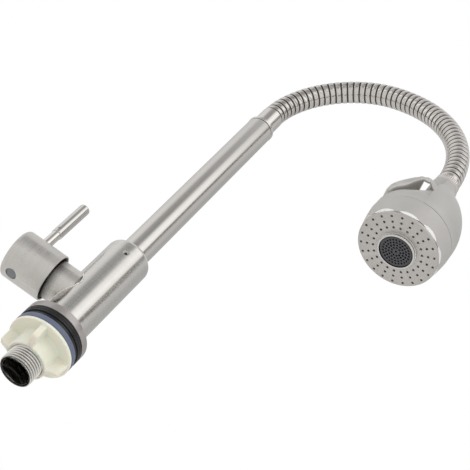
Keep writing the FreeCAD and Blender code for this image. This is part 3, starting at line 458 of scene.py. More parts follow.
def lathe_group():
    """Coordinates for marks that run round an axis: distance from it, place along it, and a short share of
    the turn about it. The given coordinate has the axis along Z."""
    tree, given, out = group_of("lathe", ("Coordinate",), Fine=6000.0, Along=2.0)
    place = parts_of(tree, given["Coordinate"])
    turn = calculate(tree, "ARCTAN2", place["Y"], place["X"])
    parts = ((off_axis(tree, given["Coordinate"]), "Fine"), (place["Z"], "Fine"), (turn, "Along"))
    scaled = [calculate(tree, "MULTIPLY", part, given[scale]) for part, scale in parts]
    feed(tree, out["Coordinate"], new_node(tree, "CombineXYZ", *scaled).outputs[0])
    return tree


brushing = brushing_group()
handling = handling_group()
lathe = lathe_group()


def blank_material(name, centre=(0, 0, 0), turn=(0, 0, 0), **values):
    """A material with a Principled shader, whose constant values are given, and Object coordinates that are
    moved and turned to a centre."""
    material = bpy.data.materials.new(name)
    tree = empty_tree(material)
    shader = new_node(tree, "BsdfPrincipled", **values)
    new_node(tree, "OutputMaterial", shader.outputs[0])
    place = new_node(tree, "TexCoord").outputs["Object"]
    centred = new_node(tree, "Mapping", place, centre, turn, vector_type="TEXTURE")
    return material, tree, shader, centred.outputs[0]


def shade(tint, factor):
    """A colour made darker or lighter."""
    return tuple(min(1.0, part * factor) for part in tint[:3]) + (1,)


def roughened(tree, rough, grain, spread, hands, smeared):
    """A roughness that follows a grain from the lower to the higher share in spread, and smears above it."""
    plain = mixed(tree, grain, rough * spread[0], rough * spread[1], "FLOAT")
    return calculate(tree, "MULTIPLY_ADD", hands.outputs["Smears"], rough * smeared, plain)


def surface(tree, shader, colour, rough, relief, strength, depth):
    """Feeds a shader its colour and roughness, and its normal from a relief."""
    bump = new_node(tree, "Bump", Height=relief, Strength=strength, Distance=depth)
    for name, value in (("Base Color", colour), ("Roughness", rough), ("Normal", bump.outputs[0])):
        feed(tree, shader.inputs[name], value)


def steel(name, tint, rough, depth, centre=(0, 0, 0), turn=(0, 0, 0), stretch=None, fine=5200.0, axis=None,
          shaded_roots=None, shade_band=None):
    """Brushed or polished steel. Brushing runs round the axis through centre, or with stretch, straight:
    stretch is how many scratches a metre holds along X, Y and Z. Where axis names the piece's own, the
    reflections are drawn out along it: they are turned a quarter from axis x (point - centre). Painted shade
    darkens it from the second to the first of the distances from the axis in shaded_roots, for the shade at
    a thread's root, and a little inside the first, in the bore, it takes nine tenths of its tint, a slight
    painted shade. Painted shade also grows from the first to the second distance along the axis in
    shade_band."""
    bore_ends = (0.3, 0.5)
    root_shade_factor = 0.08
    bore_shade = 0.9
    band_shade_factor = 0.22
    drawn_out = 0.75
    quarter_turn = 0.25
    material, tree, shader, centred = blank_material(name, centre, turn, Metallic=1.0)
    if axis:
        place = new_node(tree, "TexCoord").outputs["Object"]
        spoke = new_node(tree, "VectorMath", place, centre, operation="SUBTRACT")
        round_axis = new_node(tree, "VectorMath", axis, spoke.outputs[0], operation="CROSS_PRODUCT")
        in_world = new_node(tree, "VectorTransform", round_axis.outputs[0], vector_type="VECTOR",
                            convert_from="OBJECT", convert_to="WORLD")
        feed(tree, shader.inputs["Tangent"], in_world.outputs[0])
        feed(tree, shader.inputs["Anisotropic"], drawn_out)
        feed(tree, shader.inputs["Anisotropic Rotation"], quarter_turn)
    if stretch is None:
        laid = new_node(tree, "Group", node_tree=lathe, Coordinate=centred, Fine=fine)
    else:
        laid = new_node(tree, "VectorMath", centred, stretch, operation="MULTIPLY")
    marks = new_node(tree, "Group", node_tree=brushing, Coordinate=laid.outputs[0]).outputs
    hands = new_node(tree, "Group", node_tree=handling, Coordinate=centred)
    tone = mixed(tree, marks["Strokes"], shade(tint, 0.94), shade(tint, 1.05))
    tone = mixed(tree, hands.outputs["Edges"], tone, shade(tint, 1.15))
    if shaded_roots:
        reach = off_axis(tree, centred)
        # Painted shade at the thread's root, darkest at the smallest radius.
        in_root_shade = mask(tree, reach, *(end * MM for end in reversed(shaded_roots)))
        tone = mixed(tree, in_root_shade, tone, shade(tint, root_shade_factor))
        # In the bore the tone is nine tenths of the tint: a slight painted shade.
        inside = mask(tree, reach, *((shaded_roots[0] - end) * MM for end in bore_ends))
        tone = mixed(tree, inside, tone, shade(tint, bore_shade))
    # Painted shade along the axis, where a piece lies in the shade of another.
    if shade_band:
        along = calculate(tree, "ABSOLUTE", parts_of(tree, centred)["Z"])
        in_shade_band = mask(tree, along, *(end * MM for end in shade_band), "SMOOTHSTEP")
        tone = mixed(tree, in_shade_band, tone, shade(tint, band_shade_factor))
    dull = roughened(tree, rough, marks["Strokes"], (0.8, 1.25), hands, 0.35)
    surface(tree, shader, tone, dull, marks["Height"], 1.0, depth)
    return material


def dressed(piece, material, slot, *nodes):
    """Gives a piece its material, and hides the CAD nodes it stands for. Its slot is not used."""
    piece.data.materials.clear()
    piece.data.materials.append(material)
    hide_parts(*nodes)


def fit(piece, material, body, slot, *nodes):
    """Finishes a piece that one body carries."""
    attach(piece, body)
    dressed(piece, material, slot, *nodes)


body = turned("body", upright, (
    (shank_r, foot_low), (foot_r, foot_low), (flange_r - flange_edge, flange_thick, 0.2),
    (body_r, flange_thick, flange_root), (body_r, body_high, body_edge), (lip_r, body_high, 0.1),
    (lip_r, body_high - lip_thick), (bush_r, body_high - lip_thick), (bush_r, bush_foot),
    (socket_r, bush_foot), (socket_r, upper_floor), (0, upper_floor), (0, inlet_depth), (bore_r, inlet_depth),
    (bore_r, shank_high), (shank_r, shank_high)), 160, steps=8)
cut_out(body, facing_back(peg(spout_screw_r, *spout_screw_ends, 40)))
body_steel = steel("brushed_body_steel", steel_tint, 0.17, 0.0000016, fine=4200.0, axis=upright_axis)
fit(body, body_steel, "base", "brushed_body", "main_body")
flange = turned("base_flange", upright, (
    (shank_r, 0), (flange_r, 0, 0.5), (flange_r, flange_thick, flange_edge),
    (flange_r - flange_skin, flange_thick), (flange_r - flange_skin, flange_skin), (shank_r, flange_skin)),
    160, steps=8)
# Painted shade: the flange gets a darker copy of the body's steel.
flange_shaded_steel = steel("flange_shaded_steel", flange_shaded_tint, 0.34, 0.000006, fine=4200.0, axis=upright_axis)
fit(flange, flange_shaded_steel, "base", "brushed_body")
weld = skin("branch_weld", [weld_bead()])
weld_steel = steel("weld_steel", weld_tint, 0.12, 0.000004, stretch=(900, 900, 900))
fit(weld, weld_steel, "base", "brushed_body")


# Valve branch. A short tube of the same steel, brushed round its own axis, its tint painted darker than the
# body's as shade, and with painted shade towards the cap that turns over it. Its bore is wider where the
# headwork's collar is screwed in.
branch_foot = 9
branch_end = 31
valve_bore_r = 9
headwork_r = 10
headwork_foot = 19
# The band of painted shade next to the cap's rim, and the branch's steel painted darker as shade.
branch_shade_band = (16.5, 23.4)
branch_shaded_tint = (0.54, 0.52, 0.495, 1)
across = (0, math.pi / 2, 0)
branch_axis = (1, 0, 0)
branch_centre = (0, 0, (branch_high + gasket_top) * MM)


def along_branch(points):
    """From an axis along +Z to the branch's axis, along +X at the branch's height."""
    return np.stack([points[..., 2], points[..., 1], branch_high + gasket_top - points[..., 0]], -1)


branch = turned("branch", along_branch, (
    (valve_bore_r, branch_foot), (branch_r, branch_foot), (branch_r, branch_end, 0.4),
    (headwork_r, branch_end), (headwork_r, headwork_foot), (valve_bore_r, headwork_foot)))
branch_shaded_steel = steel("branch_shaded_steel", branch_shaded_tint, 0.26, 0.000006, centre=branch_centre, turn=across,
                     axis=branch_axis, shade_band=branch_shade_band)
fit(branch, branch_shaded_steel, "base", "brushed_body", "valve_branch")


# Handle. A deep-drawn cap, brushed round its axis, with an indicator plug pressed into the hole of the grub
# screw that holds it on the spindle. The lever goes through its side: a polished rod in a sleeve, which has
# a grub screw's hole of its own.
cap_r = 15.15
cap_rim = 23.3
cap_end = 51
cap_wall = 0.9
cap_edge = 3
cap_inner = cap_r - cap_wall
cap_tint = (0.61, 0.59, 0.56, 1)
plug_x = 42.6
plug_r = 3.5
plug_foot = 10
plug_gap = 0.12
plug_hole_ends = (5, 20)
plug_face = cap_r - cap_wall * 0.4
plug_tint = (0.175, 0.18, 0.20, 1)
lever_x = 41.4
rod_r = 3.1
rod_foot = 6
tenon_r = 2.2
tenon_top = 38
sleeve_r = 3.55
sleeve_foot = 28.9
lever_tip = 59.4
lever_grub_r = 1.1
lever_grub_high = 31.9
lever_grub_turn = math.radians(80)
lever_grub_ends = (2.6, 6)


def beside_lever(points):
    """From an upright axis at the origin to the lever's axis."""
    return points + (lever_x, 0, branch_high + gasket_top)


def under_cap(points):
    """From an upright axis to the plug's axis, which points down through the cap."""
    return points * (1, 1, -1) + (plug_x, 0, branch_high + gasket_top)


def beside_grub(points):
    """From an upright axis to the lever's grub screw, which points out of the sleeve's side."""
    side = np.array([math.cos(lever_grub_turn), math.sin(lever_grub_turn), 0])
    level = np.array([-side[1], side[0], 0])
    laid = points[..., :1] * level + points[..., 1:2] * np.array([0, 0, 1]) + points[..., 2:] * side
    return beside_lever(laid + (0, 0, lever_grub_high))


def moulded(name, tint, rough, grain=900.0, depth=0.00002, spread=0.08, hollow=None, **values):
    """Moulded plastic or rubber: a fine grain, a cloudy change of shade and duller handled patches. Above
    the level named as hollow, down in pits and gaps, it darkens to black with painted shade, and just below
    it, on raised parts, it is lighter: each goes from one height to another, in mm from that level, and has
    its shade."""
    raised_lighter = (-0.02, -0.12, 2.6)
    painted_hollow_shade = (0.12, 0.5, 0.04)
    material, tree, shader, place = blank_material(name, **values)
    cloud = noise(tree, place, Scale=140.0, Detail=3.0)
    pores = noise(tree, place, Scale=grain, Detail=4.0, Roughness=0.7)
    hands = new_node(tree, "Group", node_tree=handling, Coordinate=place, Patch=90.0)
    tone = mixed(tree, cloud, shade(tint, 1 - spread), shade(tint, 1 + spread))
    tone = mixed(tree, hands.outputs["Edges"], tone, shade(tint, 1 + spread * 2.5))
    if hollow is not None:
        level = parts_of(tree, place)["Z"]
        # Lighter on raised parts; black painted shade down in pits and gaps.
        for none, full, factor in (raised_lighter, painted_hollow_shade):
            share = mask(tree, level, hollow + none * MM, hollow + full * MM)
            tone = mixed(tree, share, tone, shade(tint, factor))
    dull = roughened(tree, rough, pores, (0.85, 1.15), hands, 0.3)
    surface(tree, shader, tone, dull, pores, 0.6, depth)
    return material


cap = turned("cap", along_branch, (
    (cap_inner, cap_rim, 0.25), (cap_r, cap_rim, 0.4), (cap_r, cap_end, cap_edge), (0, cap_end),
    (0, cap_end - cap_wall), (cap_inner, cap_end - cap_wall, cap_edge - cap_wall)), 160, steps=8)
cut_out(cap, under_cap(peg(plug_r + plug_gap, *plug_hole_ends, 48)))
cap_steel = steel("cap_steel", cap_tint, 0.32, 0.000006, centre=branch_centre, turn=across, fine=3600.0,
                  axis=branch_axis)
fit(cap, cap_steel, "handle", "brushed_body", "handle_cap")
plug = turned("plug", under_cap, (
    (0, plug_foot), (plug_r, plug_foot), (plug_r, plug_face, 0.35), (0, plug_face)), 48)
plug_plastic = moulded("plug_plastic", plug_tint, 0.28, Coat_Weight=0.3)
fit(plug, plug_plastic, "handle", "indicator_plastic", "indicator_plug")

rod = turned("lever_rod", beside_lever, (
    (0, rod_foot), (rod_r, rod_foot), (rod_r, sleeve_foot), (tenon_r, sleeve_foot), (tenon_r, tenon_top),
    (0, tenon_top)), 64)
lever_steel = steel("lever_steel", steel_tint, 0.13, 0.000003, centre=(lever_x * MM, 0, 0),
                    axis=upright_axis)
fit(rod, lever_steel, "handle", "polished_steel", "lever_rod")
sleeve = turned("lever_sleeve", beside_lever, (
    (tenon_r, sleeve_foot), (sleeve_r, sleeve_foot, 0.35), (sleeve_r, lever_tip, 1.0), (0, lever_tip),
    (0, tenon_top + 0.2), (tenon_r, tenon_top + 0.2)), 64)
cut_out(sleeve, beside_grub(peg(lever_grub_r, *lever_grub_ends, 24)))
fit(sleeve, lever_steel, "handle", "brushed_body", "lever_sleeve")


# Foot of the tap. From the flange down: a rubber gasket with two grooves round its side, a rubber backing
# washer and a moulded washer, all threaded over the shank. A groove is its middle and half its width, in
# sixths of the gasket's thickness.
gasket_thick = 4.2
gasket_grooves = ((1.5, 0.5), (3.8, 0.6))
backing_thick = 2.3
washer_thick = 3.7
hole_r = 10.75
rubber_tint = (0.012, 0.012, 0.013, 1)
washer_tint = (0.125, 0.145, 0.215, 1)
sixth = gasket_thick / 6


def washer_at(name, radius, top, thick, edge):
    """A flat ring with rounded outer edges, threaded over the shank."""
    low = top - thick
    return turned(name, upright, ((hole_r, top), (radius, top, edge), (radius, low, edge), (hole_r, low)))


groove_corners = [(flange_r - sixth * deep, sixth * (half * way - middle), edge)
                  for middle, half in gasket_grooves
                  for way, deep, edge in ((1, 0, 0.2), (0, 0.8, 0.15), (-1, 0, 0.2))]
gasket = turned("gasket", upright, (
    (hole_r, 0), (flange_r, 0, 0.3), *groove_corners, (flange_r, -gasket_thick, 0.4),
    (hole_r, -gasket_thick)), steps=4)
rubber = moulded("black_rubber", rubber_tint, 0.24, Specular_IOR_Level=0.4)
fit(gasket, rubber, "base", "black_rubber", "base_gasket")
backing = washer_at("backing_washer", flange_r - sixth, -gasket_thick, backing_thick, 0.3)
fit(backing, rubber, "clamp_stack", "black_rubber", "backing_washer")
washer_top = -gasket_thick - backing_thick
washer = washer_at("clamp_washer", flange_r, washer_top, washer_thick, 0.7)
washer_plastic = moulded("washer_plastic", washer_tint, 0.42, spread=0.05)
fit(washer, washer_plastic, "clamp_stack", "grey_plastic", "clamp_washer")


# Lock nut. Moulded in an ivory plastic that lets a little light in: a flange, a threaded hub and four wings
# for the fingers, whose outer edge goes straight down before it slopes in to the hub's foot. The parts are
# melted into one skin, so that they meet in the soft blends of a moulding.
nut_top = washer_top - washer_thick
nut_high = 14.5
nut_low = nut_top - nut_high
nut_flange = 2.3
nut_hub_r = 12.4
nut_bore_r = 10.5
wing_top = nut_top - 1.2
wing_foot_r = 11.1
wing_reach = 19.3
wing_thick = 3.8
wing_low = nut_low + 2.7
wing_count = 4
wing_turn = math.radians(-5)
nut_cell = 0.33
nut_rounds = 12
ivory_tint = (0.84, 0.825, 0.71, 1)


def plate(thick, edge, *corners, steps=6, edge_points=5):
    """A flat shape with its outline in the XZ plane, thick along Y, its edges rounded: the outline moves in
    by edge * (1 - cos a) while the height goes by edge * sin a, a from -90 to 90 degrees."""
    outline = rounded(*corners, steps=steps)
    ahead = np.roll(outline, -1, 0) - np.roll(outline, 1, 0)
    inward = np.stack([-ahead[:, 1], ahead[:, 0]], -1) / np.linalg.norm(ahead, axis=1, keepdims=True)
    area = np.sum(outline[:, 0] * np.roll(outline[:, 1], -1) - np.roll(outline[:, 0], -1) * outline[:, 1])
    inward = inward * np.sign(area)
    angle = np.concatenate([np.linspace(-90, 0, edge_points), np.linspace(0, 90, edge_points)]) * np.pi / 180
    side = np.repeat([-1, 1], edge_points) * (thick / 2 - edge) + edge * np.sin(angle)
    moved = outline[None] + inward[None] * (edge * (1 - np.cos(angle)))[:, None, None]
    return np.stack([moved[..., 0], side[:, None] + 0 * moved[..., 0], moved[..., 1]], -1)


def turned_about_z(points, angle):
    """x cos a - y sin a, x sin a + y cos a, z."""
    cosine, sine = math.cos(angle), math.sin(angle)
    return np.stack([points[..., 0] * cosine - points[..., 1] * sine,
                     points[..., 0] * sine + points[..., 1] * cosine, points[..., 2]], -1)


def melted(piece, cell, rounds):
    """Runs parts that overlap into one skin: a new mesh of small cells round them all, then smoothed."""
    change = piece.modifiers.new("melt", "REMESH")
    change.mode = "VOXEL"
    change.voxel_size = cell * MM
    soft = piece.modifiers.new("soften", "SMOOTH")
    soft.factor = 0.5
    soft.iterations = rounds
    baked(piece)


hub = revolve(rounded(
    (nut_bore_r, nut_top), (flange_r, nut_top, 0.3), (flange_r, nut_top - nut_flange, 0.3),
    (nut_hub_r, nut_top - nut_flange, 1.2), (nut_hub_r, nut_low, 0.4), (nut_bore_r, nut_low, 0.3)))
wing = plate(wing_thick, 0.9, (wing_foot_r, wing_top), (wing_reach, wing_top), (wing_reach, wing_low, 2.2),
             (nut_hub_r, nut_low, 0.8), (wing_foot_r, nut_low), steps=7)
wings = [turned_about_z(wing, wing_turn + 2 * math.pi * step / wing_count) for step in range(wing_count)]
nut = skin("lock_nut", [upright(hub)], capped=[upright(one) for one in wings])
melted(nut, nut_cell, nut_rounds)
ivory = moulded("ivory_plastic", ivory_tint, 0.36, spread=0.03, Coat_Weight=0.1,
                Subsurface_Weight=0.3, Subsurface_Scale=0.003)
fit(nut, ivory, "nut", "ivory_plastic", "lock_nut")


# Threaded shank. A G1/2 pipe thread rolled on a steel tube: 14 threads to the inch, with round crests and
# painted shade at the root of the thread, screwed and brazed into the body. It shows under the nut, with the
# inlet's open bore.
thread_pitch = 25.4 / 14
thread_deep = 1.05
thread_bevel = 0.5
shank_low = -34.8
shank_tint = (0.86, 0.84, 0.81, 1)


def threaded(segments=72, per_turn=14):
    """A tube with a screw thread outside, r = crest - deep * ((1 + cos(2 pi z / pitch - a)) / 2) ^ 0.8. Where
    the thread runs out, over a little under half a pitch at each end, it goes in to half the depth."""
    runout_steep = 2.2
    turn = full_turn(segments)
    long = shank_high - shank_low
    height = np.linspace(shank_low, shank_high, int(long / thread_pitch * per_turn))[:, None]
    wave = ((1 + np.cos(2 * np.pi * height / thread_pitch - turn)) / 2) ** 0.8
    to_end = np.minimum(height - shank_low, shank_high - height)
    runout = np.clip(1 - to_end / thread_pitch * runout_steep, 0, 1)
    outside = round_z(shank_r - thread_deep * np.maximum(wave, runout / 2), turn, height)
    inside = revolve([(bore_r + thread_bevel, shank_high), (bore_r, shank_high - thread_bevel),
                      (bore_r, shank_low + 0.6), (bore_r + thread_bevel, shank_low)], segments)
    return np.concatenate([outside, inside])


shank = skin("threaded_shank", [upright(threaded())], smooth_under=math.radians(70))
# shaded_roots: where the painted shade of the thread's root begins and is full.
shank_steel = steel("shank_steel", shank_tint, 0.1, 0.0000015, fine=3000.0,
                    shaded_roots=(shank_r - thread_deep, shank_r - thread_deep * 0.35))
fit(shank, shank_steel, "base", "polished_steel", "inlet_shank")


# Riser. A drawn steel tube, polished lengthwise, that turns in the body on a plastic bush. A collar turned
# from bar closes it and carries the gooseneck's plain lower cuff, with a barb for the hose inside.
riser_r = 9.2
riser_bore_r = 7.95
riser_foot = 75
riser_top = 246
riser_tint = (0.58, 0.56, 0.535, 1)
collar_r = 9.5
collar_high = 3.6
collar_deep = 9.2
collar_step = 0.35
collar_top = riser_top + collar_high
barb_r = 4.2
barb_bore_r = 3.2
barb_top = collar_top + 11
cuff_r = 7.75

riser = turned("riser", upright, (
    (riser_bore_r, riser_foot), (riser_r, riser_foot), (riser_r, riser_top, 0.35), (riser_bore_r, riser_top)))
riser_steel = steel("riser_steel", riser_tint, 0.15, 0.000001, stretch=(2600, 2600, 40), axis=upright_axis)
fit(riser, riser_steel, "spout", "brushed_body", "riser_tube")
collar = turned("riser_collar", upright, (
    (barb_bore_r, riser_top - collar_deep), (riser_bore_r, riser_top - collar_deep),
    (riser_bore_r, riser_top + collar_step), (collar_r, riser_top + collar_step, 0.3),
    (collar_r, collar_top - collar_r + cuff_r + 0.3, 0.5), (cuff_r + 0.5, collar_top, 0.3),
    (barb_r, collar_top), (barb_r, barb_top), (barb_bore_r, barb_top)))
collar_steel = steel("collar_steel", shade(steel_tint, 1.04), 0.16, 0.000004, fine=4000.0)
fit(collar, collar_steel, "spout", "polished_steel", "riser_adapter")


# Gooseneck. A steel strip wound into a tube that holds its bend: fifty flat bands, and a plain cuff at the
# riser. The grooves between the bands show a core tube, a piece of its own, painted near black as the
# shade down in the grooves, and a rubber water hose runs inside.
hose_r = 7.55
hose_floor_r = 6.8
hose_bore_r = 5.8
core_r = 7.15
core_bore_r = 6.45
core_past = 0.3
liner_r = 5.5
liner_bore_r = 4.25
band_count = 50
first_bend = 56
first_angle = math.radians(102.5)
second_bend = 95.4
spout_turn = math.radians(152.9)
cuff_long = 15.1
hose_start = collar_top + cuff_long
first_length = first_bend * first_angle
bend_length = first_length + second_bend * (math.pi - first_angle)
band_tint = (0.60, 0.575, 0.55, 1)
groove_shade_tint = (0.085, 0.072, 0.062, 1)
hose_tint = (0.03, 0.03, 0.03, 1)


def on_gooseneck(along, radius, segments=56):
    """Rings square to the gooseneck's centre line: straight up to the bends, round a first arc to its end
    angle, round a second to straight down, then straight on. Each ring is a circle in the plane of the
    inward direction and the sideways one."""
    first = np.clip(along, 0, first_length) / first_bend
    second = np.clip(along - first_length, 0, bend_length - first_length) / second_bend
    angle = first + second
    out = first_bend * (1 - np.cos(first))
    out = out + second_bend * (np.cos(first_angle) - np.cos(first_angle + second))
    rise = first_bend * np.sin(first) + second_bend * (np.sin(first_angle + second) - np.sin(first_angle))
    rise = rise + np.minimum(along, 0) - np.maximum(along - bend_length, 0)
    turn = full_turn(segments)
    wide = radius[:, None] * np.cos(turn)
    deep = radius[:, None] * np.sin(turn)
    x = out[:, None] + wide * np.cos(angle)[:, None]
    z = hose_start + rise[:, None] - wide * np.sin(angle)[:, None]
    return upright(turned_about_z(np.stack([x, deep, z], -1), spout_turn))


def plain_tube(past, rings, outer_r, inner_r, segments):
    """A smooth tube that goes a little past both ends of the bends, out along its outside and back along
    its bore."""
    way = np.linspace(-past, bend_length + past, rings)
    radius = np.concatenate([0 * way + outer_r, 0 * way + inner_r])
    return on_gooseneck(np.concatenate([way, way[::-1]]), radius, segments)


def wound_tube():
    """The cuff, the bands and the bore. A band is a low groove, a quick round shoulder, and a crown that
    rises by a few hundredths between its shoulders: step is the distance along it, rise the share of the
    way from the groove's floor to the crown."""
    pitch = bend_length / band_count
    step = np.array([0.00, 1.08, 1.12, 1.20, 1.38, 1.9, 2.8, 3.6, 4.1, pitch - 0.16, pitch - 0.05])
    rise = np.array([0.0, 0.0, 0.50, 0.80, 0.90, 0.97, 1.0, 0.97, 0.90, 0.7, 0.1])
    cuff_along = [-cuff_long, 0.01 - cuff_long, -0.4, -0.05]
    cuff_radius = [cuff_r - 0.2, cuff_r, cuff_r, cuff_r - 0.25]
    bands_along = (np.arange(band_count)[:, None] * pitch + step).ravel()
    bands_radius = hose_floor_r + (hose_r - hose_floor_r) * np.tile(rise, band_count)
    end_along = [bend_length, bend_length + cuff_long]
    end_radius = [hose_floor_r, hose_floor_r]
    bore_along = np.linspace(bend_length + cuff_long, -cuff_long, 90)
    bore_radius = 0 * bore_along + hose_bore_r
    return on_gooseneck(np.concatenate([cuff_along, bands_along, end_along, bore_along]),
                        np.concatenate([cuff_radius, bands_radius, end_radius, bore_radius]))


def fit_bending(piece, material, slot, *nodes):
    """Finishes a piece of the gooseneck, between the spout and the spray head, its place baked into its mesh.
    """
    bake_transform(piece)
    dressed(piece, material, slot, *nodes)


gooseneck = skin("gooseneck", [wound_tube()])
band_steel = steel("band_steel", band_tint, 0.12, 0.000004, stretch=(1500, 1500, 1500))
fit_bending(gooseneck, band_steel, "polished_steel", "gooseneck_hose")
# The core tube is painted near black: painted shade in the grooves between the bands.
grooves = skin("gooseneck_grooves", [plain_tube(core_past, 160, core_r, core_bore_r, 56)])
groove_shade_steel = steel("groove_shade_steel", groove_shade_tint, 0.45, 0.000004, stretch=(1500, 1500, 1500))
fit_bending(grooves, groove_shade_steel, "polished_steel")
liner = skin("water_hose", [plain_tube(cuff_long, 120, liner_r, liner_bore_r, 32)])
hose_rubber = moulded("hose_rubber", hose_tint, 0.5)
fit_bending(liner, hose_rubber, "black_rubber", "hose_liner")


# Spray head: shell. A bell of satin-coated metal. At the back it flares in one S curve; on the lever's side
# a wide finger recess cuts down to the neck and leaves a rounded lip above the seam. Heights on the head
# are counted down from the gooseneck's last band.
head_turn = math.radians(-3)
hose_reach = first_bend * (1 - math.cos(first_angle)) + second_bend * (1 + math.cos(first_angle))
head_x = hose_reach * math.cos(spout_turn)
head_y = hose_reach * math.sin(spout_turn)
head_z = hose_start - (second_bend - first_bend) * math.sin(first_angle)
neck_r = 8.6
neck_top = 5.6
neck_foot = 8
neck_edge = 0.3
neck_bore_r = 7.4
hump_r = 19.9
hump_depth = 29
flare_bend = 65
shoulder_bend = 45
head_r = 27.2
seam_depth = 62
seam_half = 0.14
seam_side = 0.22
seam_edge = 0.1
seam_in = 0.9
lip_high = 7
recess_r = 8.4
recess_top = 23
recess_foot = seam_depth - lip_high
recess_half = math.radians(87)
recess_edge = math.radians(2.2)
recess_roof = 4
shell_wall = 2
satin_tint = (0.50, 0.485, 0.465, 1)
# Painted highlight on the front ring's downward faces: its colour, the lean of the faces, and how much
# smoother they are.
facet_highlight_colour = (0.9, 0.9, 0.89, 1)
highlight_lean = (-0.30, -0.36)
highlight_polish = 0.8


def on_head(points):
    """From the head's own axis to the frame."""
    return upright(turned_about_z(points, head_turn) + (head_x, head_y, head_z))


def arc_from(start, end, radius, steps=14):
    """An arc between two points. A positive radius bulges to the right of the way from start to end."""
    start, end = np.array(start, float), np.array(end, float)
    chord = end - start
    length = np.linalg.norm(chord)
    left = np.array([-chord[1], chord[0]]) / length
    centre = (start + end) / 2 + left * np.sign(radius) * math.sqrt(radius ** 2 - length ** 2 / 4)
    return arc(centre, start - centre, end - centre, 2 * math.asin(length / 2 / abs(radius)), steps)


def shell_surface(segments=360):
    """The bell's outside radius at each depth is the S curve's; inside the recess it is the lesser of that
    and the recess's own neck and slope, and the change between them takes a few degrees of the turn."""
    seam_low = -seam_depth + seam_half
    s_curve = np.concatenate([
        [(neck_r - neck_edge, -neck_top), (neck_r, -neck_top - neck_edge)],
        arc_from((neck_r, -neck_foot), (hump_r, -hump_depth), flare_bend),
        arc_from((hump_r, -hump_depth), (head_r, -recess_foot), -shoulder_bend)[1:],
        [(head_r, -seam_depth + seam_side), (head_r - seam_edge, seam_low), (head_r - seam_in, seam_low)]])
    depth = np.unique(np.concatenate([-s_curve[:, 1], np.linspace(neck_foot, recess_foot, 60)]))
    bell = np.interp(depth, -s_curve[:, 1], s_curve[:, 0])
    slope = recess_r + (head_r - recess_r) * np.clip((depth - recess_top) / (recess_foot - recess_top), 0, 1)
    soft = np.convolve(np.pad(slope, 3, mode="edge"), np.ones(7) / 7, mode="valid")
    hollow = np.minimum(bell, soft)
    turn = np.linspace(-np.pi, np.pi, segments, endpoint=False)
    inside = np.clip((recess_half - np.abs(turn)) / recess_edge + 0.5, 0, 1)
    inside = inside * inside * (3 - 2 * inside)
    outer = round_z(bell[:, None] + (hollow - bell)[:, None] * inside, turn, -depth[:, None])
    inner_r = head_r - shell_wall
    lining = rounded((inner_r, -seam_depth + seam_edge), (inner_r, -recess_foot - shell_wall),
                     (neck_bore_r, -recess_top - recess_roof), (neck_bore_r, -neck_top))
    return np.concatenate([outer, round_z(lining[:, :1], turn, lining[:, 1:])])


def satin(name, tint, rough, highlight_under=None):
    """Satin coating on metal: even fine grain, soft reflections under a thin clear coat. Below the level that
    highlight_under gives, faces that lean downwards carry a painted highlight, near white, and are smoother."""
    material, tree, shader, place = blank_material(name, Metallic=0.6, Coat_Weight=0.15, Coat_Roughness=0.4)
    grain = noise(tree, place, Scale=5200.0, Detail=2.0)
    cloud = noise(tree, place, Scale=45.0, Detail=3.0)
    hands = new_node(tree, "Group", node_tree=handling, Coordinate=place, Patch=70.0)
    tone = mixed(tree, cloud, shade(tint, 0.97), shade(tint, 1.03))
    tone = mixed(tree, hands.outputs["Edges"], tone, shade(tint, 1.12))
    dull = roughened(tree, rough, grain, (0.9, 1.1), hands, 0.15)
    if highlight_under is not None:
        lean = parts_of(tree, new_node(tree, "NewGeometry").outputs["Normal"])["Z"]
        under = mask(tree, parts_of(tree, place)["Z"], highlight_under + MM, highlight_under)
        # Painted highlight: near white on faces that lean downwards below the level.
        cut = calculate(tree, "MULTIPLY", mask(tree, lean, *highlight_lean), under)
        tone = mixed(tree, cut, tone, facet_highlight_colour)
        dull = calculate(tree, "MULTIPLY", dull, calculate(tree, "MULTIPLY_ADD", cut, -highlight_polish, 1.0))
    surface(tree, shader, tone, dull, grain, 0.5, 0.000012)
    return material


shell = skin("shell", [on_head(shell_surface())], smooth_under=math.radians(30))
shell_satin = satin("shell_satin", satin_tint, 0.56)
fit(shell, shell_satin, "spray_head", "satin_shell", "head_shell")


# Ferrule. A steel ring crimped over the gooseneck's end, its side cut into fine upright ridges. It stands in
# the shell's neck.
ferrule_r = 7.9
knurl_count = 40
knurl_deep = 0.22
ferrule_tint = (0.70, 0.65, 0.62, 1)


def knurled_ring(segments=240):
    """A ring whose side is cut into ridges, r = outer - deep * (1 + cos(n a)) / 2, plain and bevelled at its
    two ends."""
    turn = full_turn(segments)
    end = np.array([0, 0.3, 0.7, 0.9])
    height = np.concatenate([end - neck_top, -end[::-1]])[:, None]
    share = np.array([0, 0, 0, 1, 1, 0, 0, 0])[:, None]
    edge = np.array([0.3, 0, 0, 0, 0, 0, 0, 0.3])[:, None]
    radius = ferrule_r - edge - share * knurl_deep * (1 + np.cos(knurl_count * turn)) / 2
    inside = revolve([(hose_floor_r, 0), (hose_floor_r, -neck_top)], segments)
    return np.concatenate([round_z(radius, turn, height), inside])


ferrule = skin("ferrule", [on_head(knurled_ring())])
ferrule_steel = steel("ferrule_steel", ferrule_tint, 0.18, 0.000004, stretch=(1800, 1800, 1800))
fit(ferrule, ferrule_steel, "spray_head", "polished_steel", "hose_ferrule")


# Front ring. The head's lower rim, plated and satin like the shell, with a thin dark seam above it. Flat
# grip facets lean into its lower edge all round, and stand out between the spray plate and the ring's side
# with a painted highlight on their downward faces.
face_depth = 76.2
face_r = 25.5
rim_wall = 1.8
ring_bend = 160
collar_rise = 4
facet_count = 10
facet_turn = math.radians(10)
facet_deep = 0.85
facet_rise = 2.4
facets_from = 2.9


